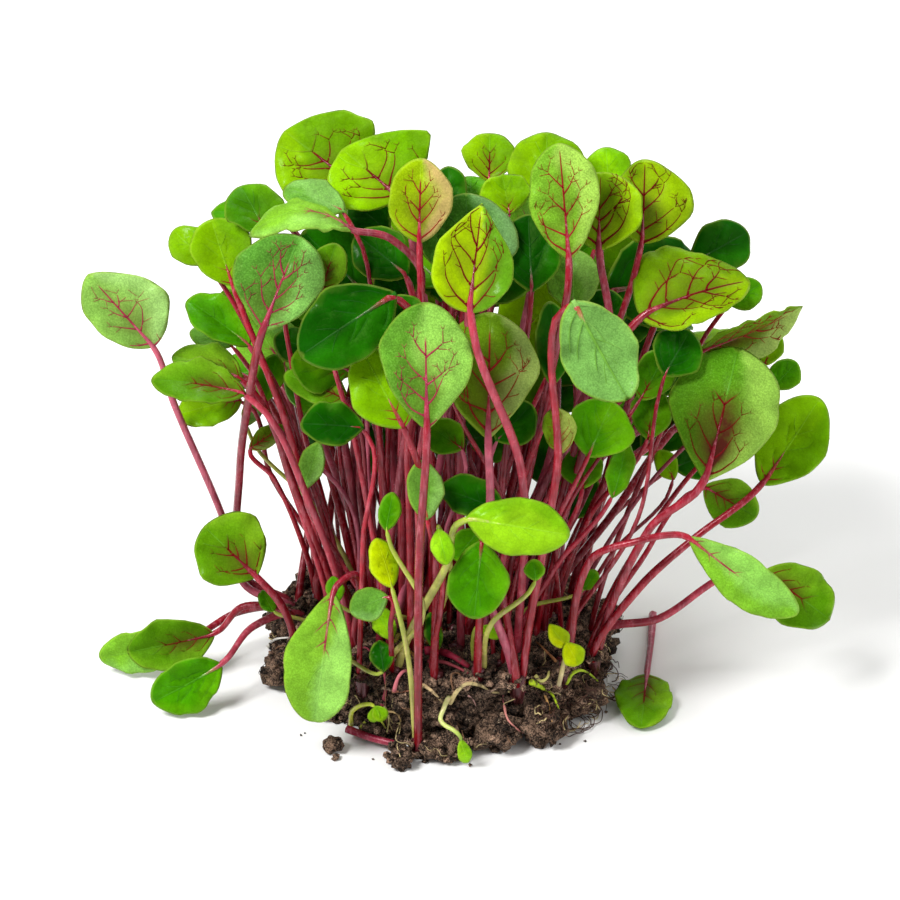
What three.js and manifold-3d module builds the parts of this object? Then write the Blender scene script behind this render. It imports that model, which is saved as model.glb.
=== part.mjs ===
// A clump of young red-veined sorrel, lifted with the block of crumbly soil it grows in.
// Millimetres, +Z up. The origin is the middle of the soil block's flat underside.
import * as THREE from "three";
import Module from "manifold-3d";

const wasm = await Module();
wasm.setup();

// The soil block
const SOIL_HALF_WIDTH = 31;
const SOIL_HALF_DEPTH = 24.5;
const SOIL_HEIGHT = 15;
const SOIL_RELIEF = 1.3;
const SOIL_FLANK_SPREAD = 1.8;
const SOIL_SIDES = 24;
const HOLE_SIDES = 5;
const SOIL_CORNERS = 2.7;
const SOIL_WORN_CORNER = 1.9;
const HOLE_CLEARANCE = 0.6;
const HOLE_FLARE = 0.6;

// The stems
const CROWN_RADIUS = 1.95;
const CROWN_SPREAD = 1.1;
const CROWN_LIFT = 1.2;
const CROWN_ROOT = 7;
const STEM_FOOT_RADIUS = 0.88;
const STEM_NECK_RADIUS = 0.62;
const STEM_SUNK = 0.9;
const SMALL_STEM = 0.72;
const BED_SPACING = 6.5;
const BED_COLUMNS = 9;
const BED_ROWS = 7;
const CROWN_GAP = 5.6;
const STEM_PIECES = 4;
const FILLER_STEM_PIECES = 3;
const MOST_LEAVES = 3;
const HIDDEN_TRIES = 600;

// The blades
const BLADE_THICKNESS = 0.8;
const BLADE_ROWS = [0.1, 0.32, 0.6, 0.86];
const FILLER_BLADE_ROWS = [0.16, 0.5, 0.84];
const SMALL_BLADE_LENGTH = 13;
const MIDRIB_DEPTH = 0.45;

// How far the growing leaves keep from each other
const STEM_TO_STEM = 2.5;
const BLADE_GAP = 1.75;
const BLADE_EDGE_MARGIN = 1.2;
const SAMPLE_STEP = 2.4;

// The line of sight of the reference view: a pixel and a depth give a point of the clump.
const SIGHT_ELEVATION = THREE.MathUtils.degToRad(32);
const SIGHT_DISTANCE = 700;
const SIGHT_FOCAL = 3500;
const SIGHT_MIDDLE = 450;
const SIGHT_ORIGIN = [440, 672];

const add = (a, b) => [a[0] + b[0], a[1] + b[1], a[2] + b[2]];
const sub = (a, b) => [a[0] - b[0], a[1] - b[1], a[2] - b[2]];
const mul = (a, k) => [a[0] * k, a[1] * k, a[2] * k];
const dot = (a, b) => a[0] * b[0] + a[1] * b[1] + a[2] * b[2];
const cross = (a, b) => [
  a[1] * b[2] - a[2] * b[1],
  a[2] * b[0] - a[0] * b[2],
  a[0] * b[1] - a[1] * b[0],
];
const size = (a) => Math.sqrt(dot(a, a));
const unit = (a) => mul(a, 1 / size(a));
const mix = (a, b, k) => add(mul(a, 1 - k), mul(b, k));

const AHEAD = [0, Math.cos(SIGHT_ELEVATION), -Math.sin(SIGHT_ELEVATION)];
const UPWARD = [0, Math.sin(SIGHT_ELEVATION), Math.cos(SIGHT_ELEVATION)];
const EYE = mul(sightLine(SIGHT_ORIGIN), -SIGHT_DISTANCE);

// The direction in which a pixel of the reference view looks, one unit deep.
function sightLine([px, py]) {
  const right = (px - SIGHT_MIDDLE) / SIGHT_FOCAL;
  const up = (SIGHT_MIDDLE - py) / SIGHT_FOCAL;
  return add(add(AHEAD, mul(UPWARD, up)), [right, 0, 0]);
}

// The point that a pixel shows, at the given distance y behind the middle of the clump.
function seen(pixel, y) {
  const line = sightLine(pixel);
  return add(EYE, mul(line, (y - EYE[1]) / line[1]));
}

// The pixel that shows a point, and how far along the line of sight the point is.
function pixelOf(point) {
  const away = sub(point, EYE);
  const reach = dot(away, AHEAD);
  const px = SIGHT_MIDDLE + SIGHT_FOCAL * away[0] / reach;
  const py = SIGHT_MIDDLE - SIGHT_FOCAL * dot(away, UPWARD) / reach;
  return [px, py, reach];
}

function inside(px, py, polygon) {
  let odd = false;
  for (let i = 0, j = polygon.length - 1; i < polygon.length; j = i, i += 1) {
    const [xi, yi] = polygon[i];
    const [xj, yj] = polygon[j];
    if (yi > py !== yj > py && px < (xj - xi) * (py - yi) / (yj - yi) + xi) odd = !odd;
  }
  return odd;
}

// Clods fused to the block's foot and top: x, y, z and radius.
const CLODS = [
  [-12.5, -23.6, 3, 3.8], [-7.6, -29.4, 2.2, 2.9], [-1.6, -28.6, 2.6, 3], [2.4, -27.6, 3.2, 3.8],
  [11, -25, 4, 4], [20, -22.5, 4, 4.2], [28.5, -15, 5, 4.2],
  [-31.5, -4, 4, 3.8], [-32, 13, 4, 3.6], [32.5, 12, 4.5, 4], [14, 25.5, 4.5, 4.2], [-12, 25.8, 4, 4.4],
  [9.5, -14.4, 14.4, 2.4],
];

// Plants whose place shows in the reference view: where their crown stands on the soil.
const KNOWN_CROWNS = {
  west_edge: { at: [-29.5, 8], top: 11 },
  west_floor: { at: [-28.5, 0.5], top: 13 },
  west_round: { at: [-28, -7], top: 13 },
  leaning_pair: { at: [-22.5, 11], top: 15 },
  pink_stem: { at: [-24, 5], top: 15 },
  front_tall: { at: [-3.9, -27.4], top: 3.4 },
  front_left: { at: [-16.5, -10], top: 15 },
  front_oval: { at: [7.5, -19.5], top: 14.5 },
  front_hood: { at: [15, -20.5], top: 13.5 },
  front_low: { at: [-9, -19], top: 14.5 },
  east_corner: { at: [30, -12], top: 13.5 },
  east_low: { at: [30.5, -4], top: 12 },
  east_back: { at: [27, 5], top: 15 },
  east_inner: { at: [24, -16], top: 14 },
};

// Leaves that the reference view shows, nearest first. base and tip are pixels, depth is the
// base's distance y behind the middle, and lean is how much farther off its tip is.
// roll turns the blade about its midrib, arch bows it along, cup bows it across, fold creases
// it and wave ripples its edges. crown names the plant, and via bends the stem through points.
const SEEN_LEAVES = [
  { name: "front_tall", base: [427, 430], tip: [425, 302], depth: -31, lean: 1, width: 16.7,
    cup: -0.12, arch: 0.05, widest: 0.56, crown: "front_tall", via: [[419, 560, -30.5], [418, 680, -29.6]] },
  { name: "front_hood", base: [488, 440], tip: [490, 312], depth: -22, lean: 2, width: 16.1,
    cup: -0.2, arch: 0.06, widest: 0.58, crown: "front_hood", via: [[490, 500, -21], [484, 580, -21]] },
  { name: "lower_left", base: [333, 590], tip: [315, 722], depth: -17, lean: 1, width: 12.9,
    cup: 0.1, arch: 0.12, widest: 0.55, crown: "front_left", via: [[357, 576, -13]] },
  { name: "bright_oval", base: [466, 518], tip: [570, 535], depth: -30, lean: 1, width: 11,
    cup: -0.15, arch: 0.08, widest: 0.5, crown: "front_low", via: [[447, 565, -24]] },
  { name: "hanging_oval", base: [482, 540], tip: [474, 619], depth: -28, lean: 3, width: 11.4,
    arch: 0.08, widest: 0.52, crown: "front_oval", via: [[494, 552, -24]] },
  { name: "east_big", base: [705, 482], tip: [738, 347], depth: -17, lean: 2, width: 19,
    cup: -0.25, arch: 0.08, widest: 0.58, crown: "east_corner", via: [[649, 530, -16]] },
  { name: "east_far", base: [762, 485], tip: [820, 398], depth: -4, lean: 2, width: 13.3,
    cup: 0.05, widest: 0.5, crown: "east_corner", via: [[690, 540, -6], [640, 585, -9]] },
  { name: "east_drooping", base: [688, 536], tip: [798, 614], depth: -17, lean: 0, width: 9.5,
    arch: 0.1, fold: 0.12, widest: 0.55, roll: 14, crown: "east_inner", via: [[648, 535, -17], [600, 556, -15]] },
  { name: "east_floor", base: [762, 572], tip: [830, 620], depth: -6, lean: 1, width: 12.8,
    wave: 0.9, arch: 0.06, widest: 0.5, roll: -10, crown: "east_low", via: [[723, 577, -6], [660, 618, -6]] },
  { name: "west_far", base: [154, 347], tip: [88, 274], depth: 0, lean: -1, width: 12,
    cup: 0.1, arch: 0.06, widest: 0.52, crown: "west_edge",
    via: [[174, 404, 0], [221, 513, 3], [244, 584, 7]] },
  { name: "west_big", base: [262, 332], tip: [300, 236], depth: -7, lean: 1, width: 16.7,
    cup: -0.12, arch: 0.06, widest: 0.56, crown: "west_edge",
    via: [[252, 380, -5], [240, 470, 2], [244, 575, 9]] },
  { name: "west_round", base: [257, 577], tip: [204, 526], depth: -8, lean: 0, width: 14.6,
    cup: 0.12, wave: 0.5, widest: 0.52, crown: "west_round" },
  { name: "floor_back", base: [188, 640], tip: [99, 657], depth: 3, lean: 3, width: 9.1,
    cup: 0.06, widest: 0.52, roll: -18, crown: "west_floor", via: [[240, 612, 3]] },
  { name: "floor_middle", base: [215, 634], tip: [127, 652], depth: 0, lean: 0, width: 10.9,
    fold: 0.16, wave: 0.5, widest: 0.5, roll: -12, crown: "west_floor", via: [[246, 606, 0]] },
  { name: "floor_front", base: [222, 664], tip: [152, 702], depth: -5, lean: 0, width: 11.4,
    cup: 0.14, widest: 0.5, roll: -20, crown: "west_floor", via: [[254, 626, -3]] },
  { name: "pink_small", base: [249, 449], tip: [284, 426], depth: 0, lean: 1, width: 4.2,
    fold: 0.3, crown: "pink_stem", via: [[258, 478, 1], [286, 540, 3]] },
  { name: "leaning_stem", base: [268, 236], tip: [240, 186], depth: 6, lean: 4, width: 11.4,
    cup: 0.1, roll: 20, crown: "leaning_pair", via: [[272, 342, 4], [288, 430, 6], [312, 520, 9]] },
  { name: "lime_pointed", base: [469, 313], tip: [482, 203], depth: -20, lean: 2, width: 16.1,
    sharp: 1.8, cup: 0.12, widest: 0.38 },
  { name: "behind_tall", base: [404, 428], tip: [362, 350], depth: -22, lean: 2, width: 12.7,
    cup: -0.1, widest: 0.5 },
  { name: "hanging_pale", base: [573, 300], tip: [628, 400], depth: -20, lean: 0, width: 13.9,
    cup: -0.2, wave: 0.8, roll: 168, widest: 0.5 },
  { name: "dark_glossy", base: [396, 293], tip: [300, 356], depth: -12, lean: 1, width: 14.6,
    fold: -0.12, arch: 0.08, widest: 0.52 },
  { name: "tall_red", base: [569, 261], tip: [559, 143], depth: -8, lean: 1, width: 13.3,
    cup: -0.12, widest: 0.55, via: [[566, 300, -9]] },
  { name: "sideways_big", base: [640, 316], tip: [750, 281], depth: -5, lean: 3, width: 16.6,
    fold: -0.2, arch: 0.08, widest: 0.42, roll: -26 },
  { name: "grey_behind", base: [469, 288], tip: [466, 193], depth: -8, lean: 3, width: 18.6,
    cup: -0.1, widest: 0.52 },
  { name: "east_olive", base: [704, 486], tip: [757, 517], depth: -4, lean: 2, width: 9.5,
    cup: 0.1, roll: 10 },
  { name: "east_pale_fold", base: [700, 350], tip: [803, 306], depth: -2, lean: 2, width: 11.4,
    fold: 0.3, sharp: 1.4, roll: 48, widest: 0.42 },
  { name: "fold_right", base: [599, 251], tip: [601, 172], depth: 2, lean: 1, width: 16.1,
    fold: 0.25, widest: 0.5, roll: -12, via: [[607, 335, -2]] },
  { name: "lime_right", base: [642, 244], tip: [645, 159], depth: 5, lean: 2, width: 12.3,
    cup: -0.06, widest: 0.45 },
  { name: "pink_narrow", base: [419, 243], tip: [421, 158], depth: -6, lean: 0, width: 12,
    cup: 0.12, widest: 0.48 },
  { name: "saddle", base: [352, 231], tip: [249, 236], depth: -8, lean: -3, width: 11.4,
    arch: 0.24, cup: -0.2, roll: 58, widest: 0.5, via: [[380, 245, -7], [410, 285, -6]] },
  { name: "lime_back", base: [401, 199], tip: [342, 149], depth: 13, lean: 3, width: 18.1,
    cup: 0.12, widest: 0.52 },
  { name: "lime_top", base: [352, 182], tip: [284, 131], depth: 27, lean: 3, width: 18.4,
    cup: 0.06, widest: 0.52 },
  { name: "pale_back", base: [345, 212], tip: [284, 188], depth: 5, lean: 3, width: 9.5,
    roll: 40, widest: 0.5 },
  { name: "cupped_west", base: [233, 286], tip: [211, 219], depth: 1, lean: 2, width: 10.3,
    cup: 0.3, widest: 0.52 },
  { name: "small_west", base: [208, 263], tip: [173, 230], depth: 8, lean: 2, width: 7.6,
    cup: 0.1, widest: 0.5 },
  { name: "oblique_west", base: [288, 222], tip: [211, 212], depth: 15, lean: 3, width: 11.4,
    roll: 42, sharp: 1.3, widest: 0.5 },
  { name: "folded_west", base: [250, 346], tip: [187, 300], depth: 1, lean: 2, width: 9.5,
    fold: 0.35, roll: 24, widest: 0.5 },
  { name: "thin_west", base: [233, 346], tip: [190, 331], depth: 11, lean: 2, width: 6.6,
    roll: 40 },
  { name: "midrib_west", base: [243, 380], tip: [172, 356], depth: -4, lean: 1, width: 10,
    roll: 42, cup: 0.15, widest: 0.5 },
  { name: "broad_west", base: [246, 394], tip: [151, 380], depth: -10, lean: 0, width: 10.9,
    roll: 40, cup: 0.12, widest: 0.5 },
  { name: "low_west", base: [242, 400], tip: [177, 415], depth: 2, lean: 0, width: 9,
    roll: 24, widest: 0.5 },
  { name: "top_middle", base: [489, 183], tip: [490, 133], depth: 24, lean: 4, width: 10.4,
    fold: 0.15, widest: 0.5 },
  { name: "under_top", base: [470, 208], tip: [471, 176], depth: 13, lean: 5, width: 8.5,
    widest: 0.5 },
  { name: "top_right", base: [545, 206], tip: [547, 132], depth: 18, lean: 4, width: 15.2,
    cup: -0.1, widest: 0.52 },
  { name: "lime_high", base: [609, 196], tip: [606, 147], depth: 24, lean: 4, width: 9.5,
    widest: 0.5 },
  { name: "dark_right", base: [690, 264], tip: [748, 232], depth: 13, lean: 4, width: 10.4,
    arch: 0.1, widest: 0.52 },
  { name: "low_right_tip", base: [728, 304], tip: [761, 284], depth: 9, lean: 2, width: 6.6 },
  { name: "small_right", base: [772, 388], tip: [797, 362], depth: 8, lean: 1, width: 6.3 },
  { name: "dark_slim", base: [552, 386], tip: [550, 301], depth: -10, lean: 1, width: 8,
    roll: 30 },
  { name: "pale_behind", base: [572, 311], tip: [574, 249], depth: 4, lean: 2, width: 10.4 },
  { name: "dark_middle", base: [408, 276], tip: [356, 234], depth: 1, lean: 3, width: 10.4,
    cup: 0.1 },
  { name: "dark_lower", base: [420, 342], tip: [382, 300], depth: -14, lean: 2, width: 9.9,
    cup: 0.1 },
  { name: "dark_upper", base: [389, 232], tip: [350, 200], depth: 14, lean: 3, width: 8.5 },
  { name: "dark_west", base: [322, 290], tip: [336, 243], depth: 0, lean: 2, width: 7.2 },
  { name: "dark_fold", base: [364, 428], tip: [300, 424], depth: -13, lean: 0, width: 8.9,
    fold: 0.3, wave: 0.5, roll: 16 },
  { name: "pale_small", base: [427, 520], tip: [421, 460], depth: -25, lean: 0, width: 7.2,
    roll: 14, cup: 0.1 },
  { name: "dark_curl", base: [505, 512], tip: [438, 488], depth: -23, lean: 0, width: 8.5,
    fold: 0.3, wave: 0.6, roll: 20 },
  { name: "light_low_east", base: [588, 457], tip: [612, 401], depth: -14, lean: 1, width: 12.8,
    cup: 0.1 },
  { name: "slim_low_east", base: [612, 498], tip: [626, 440], depth: -15, lean: 1, width: 6.1,
    roll: 30 },
  { name: "dark_low_east", base: [583, 489], tip: [581, 447], depth: -9, lean: 2, width: 8.5 },
  { name: "inner_east", base: [648, 440], tip: [654, 386], depth: -8, lean: 2, width: 8 },
  { name: "pale_seedling", base: [388, 596], tip: [350, 612], depth: -23, lean: 1, width: 6.6,
    roll: 10 },
  { name: "yellow_seedling", base: [392, 588], tip: [376, 538], depth: -25, lean: 0, width: 6.1,
    cup: -0.2, roll: 24 },
  { name: "green_seedling", base: [386, 531], tip: [393, 492], depth: -21, lean: 0, width: 4.4 },
  { name: "seed_leaf", base: [536, 581], tip: [533, 559], depth: -21, lean: 0, width: 4 },
];

// Seedlings and a cut leaf with stalks of their own. Each stalk point and tip is a pixel and a
// depth; those in the soil stand in holes, the others lie on the ground.
const SPROUTS = [
  { name: "pale_shoot", stalk: [[449, 697, -25.4], [444, 708, -28.2], [441, 721, -30], [457, 733, -32.6],
    [463, 743, -34]], tip: [468, 762, -36], width: 3.2, rooted: true },
  { name: "yellow_sprout", stalk: [[559, 684, -19.6], [564, 662, -20.2], [566, 648, -20.4]],
    tip: [551, 624, -20.3], width: 5.6, cup: 0.5, rooted: true },
  { name: "lime_sprout", stalk: [[474, 660, -15.5], [473, 636, -16], [479, 624, -16.3]],
    tip: [494, 632, -16.5], width: 3.6, rooted: true },
  { name: "yellow_arch", stalk: [[351, 724, -20.6], [352, 712, -23.4], [362, 705, -25], [374, 706, -25.8]],
    tip: [384, 718, -26.6], width: 3.4, rooted: true },
  { name: "fallen_leaf", stalk: [[653, 614, 18.8], [651, 642, 8.8], [647, 674, -2.6]],
    tip: [641, 729, -20.4], width: 11.6, cup: 0.05, arch: 0.03, facing: [0, 0, 1], rooted: false },
];
const CUT_STALK = [[347, 729, -22.2], [372, 738, -24.9], [399, 745, -27.4]];
const LOOSE_CLOD = [-20.6, -26, 1.5, 1.8];

// The outlines that the whole clump keeps to in the reference view, as pixels.
const CANOPY_OUTLINE = [
  [176, 400], [165, 240], [212, 196], [268, 176], [300, 122], [345, 114], [388, 132], [440, 160],
  [490, 128], [560, 128], [620, 150], [672, 162], [700, 222], [756, 236], [766, 290], [800, 320],
  [796, 395], [764, 470], [690, 470], [660, 460], [612, 520], [560, 470], [450, 480], [330, 450],
  [250, 420],
];
const STEM_OUTLINE = [
  [262, 430], [306, 520], [292, 600], [300, 640], [600, 650], [640, 590], [700, 500], [764, 470],
  ...CANOPY_OUTLINE.slice(0, 13).reverse(), [176, 400],
];

// The half width of a blade along its midrib, as a share of its full half width.
function profile(leaf, s) {
  const bend = Math.log(0.5) / Math.log(leaf.widest);
  const rise = Math.sin(Math.PI * Math.pow(s, bend));
  const fullness = s > leaf.widest ? 0.62 * leaf.sharp : 0.66;
  return Math.pow(Math.max(rise, 0), fullness);
}

// How far the blade's surface stands over its own plane.
function rise(leaf, s, t) {
  const half = 0.5 * leaf.width * profile(leaf, s);
  const ripple = leaf.wave * Math.sin(16 * s + (t > 0 ? 0.4 : 2.1)) * t * t;
  const along = leaf.length * leaf.arch * 4 * s * (1 - s);
  return along + half * (leaf.cup * t * t + leaf.fold * Math.abs(t)) + ripple;
}

function onBlade(leaf, s, t) {
  const half = 0.5 * leaf.width * profile(leaf, s);
  const along = add(leaf.base, mul(leaf.axis, leaf.length * s));
  return add(add(along, mul(leaf.side, half * t)), mul(leaf.normal, rise(leaf, s, t)));
}

// A blade from its base, tip and roll; it faces the given direction as far as its axis lets it.
function shapedBlade(form, base, tip, facing) {
  const along = sub(tip, base);
  const axis = unit(along);
  const level = unit(sub(facing, mul(axis, dot(facing, axis))));
  const across = cross(axis, level);
  const turn = THREE.MathUtils.degToRad(form.roll ?? 0);
  const normal = add(mul(level, Math.cos(turn)), mul(across, Math.sin(turn)));
  return {
    name: form.name,
    width: form.width,
    arch: form.arch ?? 0.04,
    cup: form.cup ?? 0,
    fold: form.fold ?? 0,
    wave: form.wave ?? 0,
    widest: form.widest ?? 0.5,
    sharp: form.sharp ?? 1,
    stemPieces: form.stemPieces ?? STEM_PIECES,
    rows: form.rows ?? BLADE_ROWS,
    length: size(along),
    base,
    axis,
    normal,
    side: cross(normal, axis),
  };
}

// Points along a smooth curve through the given ones, which leaves and arrives as told.
function smoothPath(points, leaving, arriving, pieces) {
  const spans = points.length - 1;
  const path = [];
  for (let k = 0; k <= pieces; k += 1) {
    const place = spans * k / pieces;
    const span = Math.min(Math.floor(place), spans - 1);
    const u = place - span;
    const from = points[span];
    const to = points[span + 1];
    const reach = size(sub(to, from));
    const heading = (i) => {
      if (i === 0) return leaving;
      if (i === spans) return arriving;
      return unit(sub(points[i + 1], points[i - 1]));
    };
    const out = mul(heading(span), reach);
    const into = mul(heading(span + 1), reach);
    const a = mul(from, (2 * u - 3) * u * u + 1);
    const b = mul(out, ((u - 2) * u + 1) * u);
    const c = mul(to, (3 - 2 * u) * u * u);
    const d = mul(into, (u - 1) * u * u);
    path.push(add(add(a, b), add(c, d)));
  }
  return path;
}

// The free place on a crown that lies nearest to the way a stem is heading.
function freeSlot(crown, away) {
  let best = null;
  let closest = -2;
  for (let k = 0; k < MOST_LEAVES; k += 1) {
    if (crown.taken.includes(k)) continue;
    const angle = 2 * Math.PI * k / MOST_LEAVES + 0.3;
    const slot = [CROWN_SPREAD * Math.cos(angle), CROWN_SPREAD * Math.sin(angle), 0];
    const match = (slot[0] * away[0] + slot[1] * away[1]) / (size(away) + 1e-9);
    if (best === null || match > closest + 1e-9) {
      best = { slot, k };
      closest = match;
    }
  }
  crown.offered = best.k;
  return best.slot;
}

// The stem of a leaf, from its crown to the foot of its blade.
function stemPath(leaf, crown, via, bow) {
  const neck = leaf.base;
  const foot = [crown.x, crown.y, crown.top - STEM_SUNK];
  const away = sub(neck, foot);
  const start = add(foot, freeSlot(crown, away));
  const points = [start];
  if (via.length > 0) {
    for (const point of via) points.splice(1, 0, add(point, bow));
  } else {
    const part = [0.42 * away[0], 0.42 * away[1], 0.56 * away[2]];
    points.push(add(add(foot, part), bow));
  }
  points.push(neck);
  const last = points[points.length - 2];
  const arriving = unit(add(mul(unit(sub(neck, last)), 1.3), leaf.axis));
  const first = unit(sub(points[1], start));
  const leaving = unit(add(first, [0, 0, crown.flank ? 0 : 0.9]));
  const pieces = via.length > 0 ? 2 * via.length + 2 : leaf.stemPieces;
  return smoothPath(points, leaving, arriving, pieces);
}

// Points that stand for a stem when its distance to other leaves is tested.
function stemSamples(path) {
  const samples = [path[0]];
  for (let k = 1; k < path.length; k += 1) {
    const parts = Math.ceil(size(sub(path[k], path[k - 1])) / SAMPLE_STEP);
    for (let j = 1; j <= parts; j += 1) samples.push(mix(path[k - 1], path[k], j / parts));
  }
  return samples;
}

function bladeSamples(leaf) {
  const samples = [];
  for (const s of [0.02, 0.14, 0.3, 0.46, 0.62, 0.78, 0.9, 0.985]) {
    for (const t of [-1, -0.5, 0, 0.5, 1]) samples.push(onBlade(leaf, s, t));
  }
  return samples;
}

// Whether a point lies on a blade or closer to it than the gap.
function meetsBlade(point, leaf) {
  const away = sub(point, leaf.base);
  const x = dot(away, leaf.axis);
  if (x < -BLADE_EDGE_MARGIN || x > leaf.length + BLADE_EDGE_MARGIN) return false;
  const y = dot(away, leaf.side);
  const s = Math.min(Math.max(x / leaf.length, 0.02), 0.98);
  const half = 0.5 * leaf.width * profile(leaf, s);
  if (Math.abs(y) > half + BLADE_EDGE_MARGIN) return false;
  const t = Math.min(Math.max(y / half, -1), 1);
  return Math.abs(dot(away, leaf.normal) - rise(leaf, s, t)) < BLADE_GAP;
}

const near = (a, b) => {
  const x = a[0] - b[0];
  const y = a[1] - b[1];
  const z = a[2] - b[2];
  return x * x + y * y + z * z < STEM_TO_STEM * STEM_TO_STEM;
};

const apart = (a, b) => size(sub(a.centre, b.centre)) > a.radius + b.radius + STEM_TO_STEM;

function ball(samples) {
  const low = [0, 1, 2].map((k) => Math.min(...samples.map((p) => p[k])));
  const high = [0, 1, 2].map((k) => Math.max(...samples.map((p) => p[k])));
  return { centre: mul(add(low, high), 0.5), radius: 0.5 * size(sub(high, low)) };
}

const bladesCross = (a, b) =>
  a.samples.some((p) => meetsBlade(p, b.leaf)) || b.samples.some((p) => meetsBlade(p, a.leaf));

const stemsCross = (a, b) => a.samples.some((p) => b.samples.some((q) => near(p, q)));

const stemCrossesBlade = (stem, blade) => stem.samples.some((p) => meetsBlade(p, blade.leaf));

// The plants that a blade would cross where it stands.
function plantsInTheWay(blade, grown) {
  const found = new Set();
  for (const other of grown) {
    if (found.has(other.crown)) continue;
    if (!apart(blade.ball, other.blade.ball) && bladesCross(blade, other.blade)) found.add(other.crown);
    else if (!apart(blade.ball, other.stem.ball) && stemCrossesBlade(other.stem, blade)) found.add(other.crown);
  }
  return found;
}

function stemIsClear(stem, crown, grown) {
  return !grown.some((other) => {
    if (other.crown === crown) return false;
    if (!apart(stem.ball, other.stem.ball) && stemsCross(stem, other.stem)) return true;
    return !apart(stem.ball, other.blade.ball) && stemCrossesBlade(stem, other.blade);
  });
}

function crownIsClear(stem, crown, crowns) {
  return !crowns.some((other) => {
    if (other === crown) return false;
    return stem.samples.some((p) => {
      const x = p[0] - other.x;
      const y = p[1] - other.y;
      return p[2] < other.top + 1 && x * x + y * y < 8.4;
    });
  });
}

const BOWS = [[0, 0, 0]];
for (const reach of [3, 6, 9]) {
  for (let k = 0; k < 8; k += 1) {
    const angle = Math.PI * k / 4;
    BOWS.push([reach * Math.cos(angle), reach * Math.sin(angle), 0]);
  }
}
const DEPTH_SHIFTS = [0, 2, -2, 4, -4, 6, -6, 9, -9, 12, 15];

function dressed(leaf) {
  const samples = bladeSamples(leaf);
  return { leaf, samples, ball: ball(samples) };
}

// The first stem, straight or bowed, that reaches the blade clear of the other plants.
function clearStem(blade, choices, via, grown, crowns, allowed) {
  const blocked = plantsInTheWay(blade, grown);
  if (blocked.size > 1) return null;
  for (const crown of choices) {
    if (blocked.size === 1 && !blocked.has(crown)) continue;
    if (crown.taken.length >= MOST_LEAVES) continue;
    for (const bow of BOWS) {
      const path = stemPath(blade.leaf, crown, via, bow);
      const samples = stemSamples(path);
      const stem = { path, samples, ball: ball(samples), slot: crown.offered };
      if (!allowed(samples)) continue;
      if (stemIsClear(stem, crown, grown) && crownIsClear(stem, crown, crowns)) return { crown, stem };
    }
  }
  return null;
}

const soilTop = (x, y) => {
  const out = Math.min(1, Math.hypot(x / SOIL_HALF_WIDTH, y / SOIL_HALF_DEPTH));
  const lumps = Math.sin(0.42 * x + 1.3) * Math.cos(0.5 * y) + 0.6 * Math.sin(0.95 * x - 0.7 * y);
  return SOIL_HEIGHT - 2.2 * out * out * out + SOIL_RELIEF * 0.6 * lumps;
};

// The crowns: the known plants, then the rest of the bed on a loose grid between them.
function plantedCrowns() {
  const crowns = [];
  for (const [name, { at, top }] of Object.entries(KNOWN_CROWNS)) {
    crowns.push({ name, x: at[0], y: at[1], top: top + CROWN_LIFT, flank: top < 12, taken: [], leaves: 0 });
  }
  for (let row = 0; row < BED_ROWS; row += 1) {
    for (let column = 0; column < BED_COLUMNS; column += 1) {
      const stagger = row % 2 === 0 ? 0 : 0.5 * BED_SPACING;
      const x = -27 + BED_SPACING * column + stagger + 0.8 * Math.sin(5.1 * row + 2.3 * column);
      const y = -18.5 + 0.96 * BED_SPACING * row + 0.8 * Math.cos(3.7 * row + 4.1 * column);
      const out = Math.hypot(x / (SOIL_HALF_WIDTH - 3), y / (SOIL_HALF_DEPTH - 3));
      if (out > 1.1 || Math.abs(x) > SOIL_HALF_WIDTH - 3) continue;
      if (crowns.some((other) => Math.hypot(other.x - x, other.y - y) < CROWN_GAP)) continue;
      crowns.push({ name: "", x, y, top: soilTop(x, y) + CROWN_LIFT, flank: false, taken: [], leaves: 0 });
    }
  }
  crowns.forEach((crown, index) => {
    crown.node = `plant_${String(index + 1).padStart(2, "0")}`;
  });
  return crowns;
}

const towardEye = mul(AHEAD, -1);

// The crowns that a leaf at the given place would most likely grow from, emptier ones first.
function nearestCrowns(crowns, place, count) {
  const aim = [0.5 * place[0], 0.55 * place[1] - 6];
  const cost = (crown) => Math.hypot(crown.x - aim[0], crown.y - aim[1]) + 4 * crown.leaves;
  const open = crowns.filter((crown) => crown.leaves < MOST_LEAVES);
  return open.sort((a, b) => cost(a) - cost(b)).slice(0, count);
}

// Grows the leaves of the reference view. A leaf slides along its line of sight until it and
// its stem are clear of the plants before it, so that it stays where the view shows it.
function growSeenLeaves(crowns, grown, unplaced) {
  for (const form of SEEN_LEAVES) {
    const known = crowns.filter((crown) => form.crown && crown.name === form.crown);
    const via = (form.via ?? []).map(([px, py, y]) => seen([px, py], y));
    let found = null;
    for (const shift of DEPTH_SHIFTS) {
      const base = seen(form.base, form.depth + shift);
      const reach = dot(sub(base, EYE), AHEAD) + form.lean;
      const tip = add(EYE, mul(sightLine(form.tip), reach));
      const blade = dressed(shapedBlade(form, base, tip, towardEye));
      if (blade.samples.some((p) => p[2] < 0.6)) continue;
      const choices = known.length > 0 ? known : nearestCrowns(crowns, base, 9);
      const shifted = via.length > 0 && known.length === 0 ? via.map((p) => add(p, mul(AHEAD, shift))) : via;
      const fit = clearStem(blade, choices, shifted, grown, crowns, () => true);
      if (fit) {
        found = { crown: fit.crown, blade, stem: fit.stem };
        break;
      }
    }
    if (found) {
      found.crown.leaves += 1;
      found.crown.taken.push(found.stem.slot);
      grown.push(found);
    } else {
      unplaced.push(form.name);
    }
  }
}

let drawn = 20260;
function draw(low, high) {
  drawn = (drawn * 1664525 + 1013904223) % 4294967296;
  return low + (high - low) * drawn / 4294967296;
}

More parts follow.
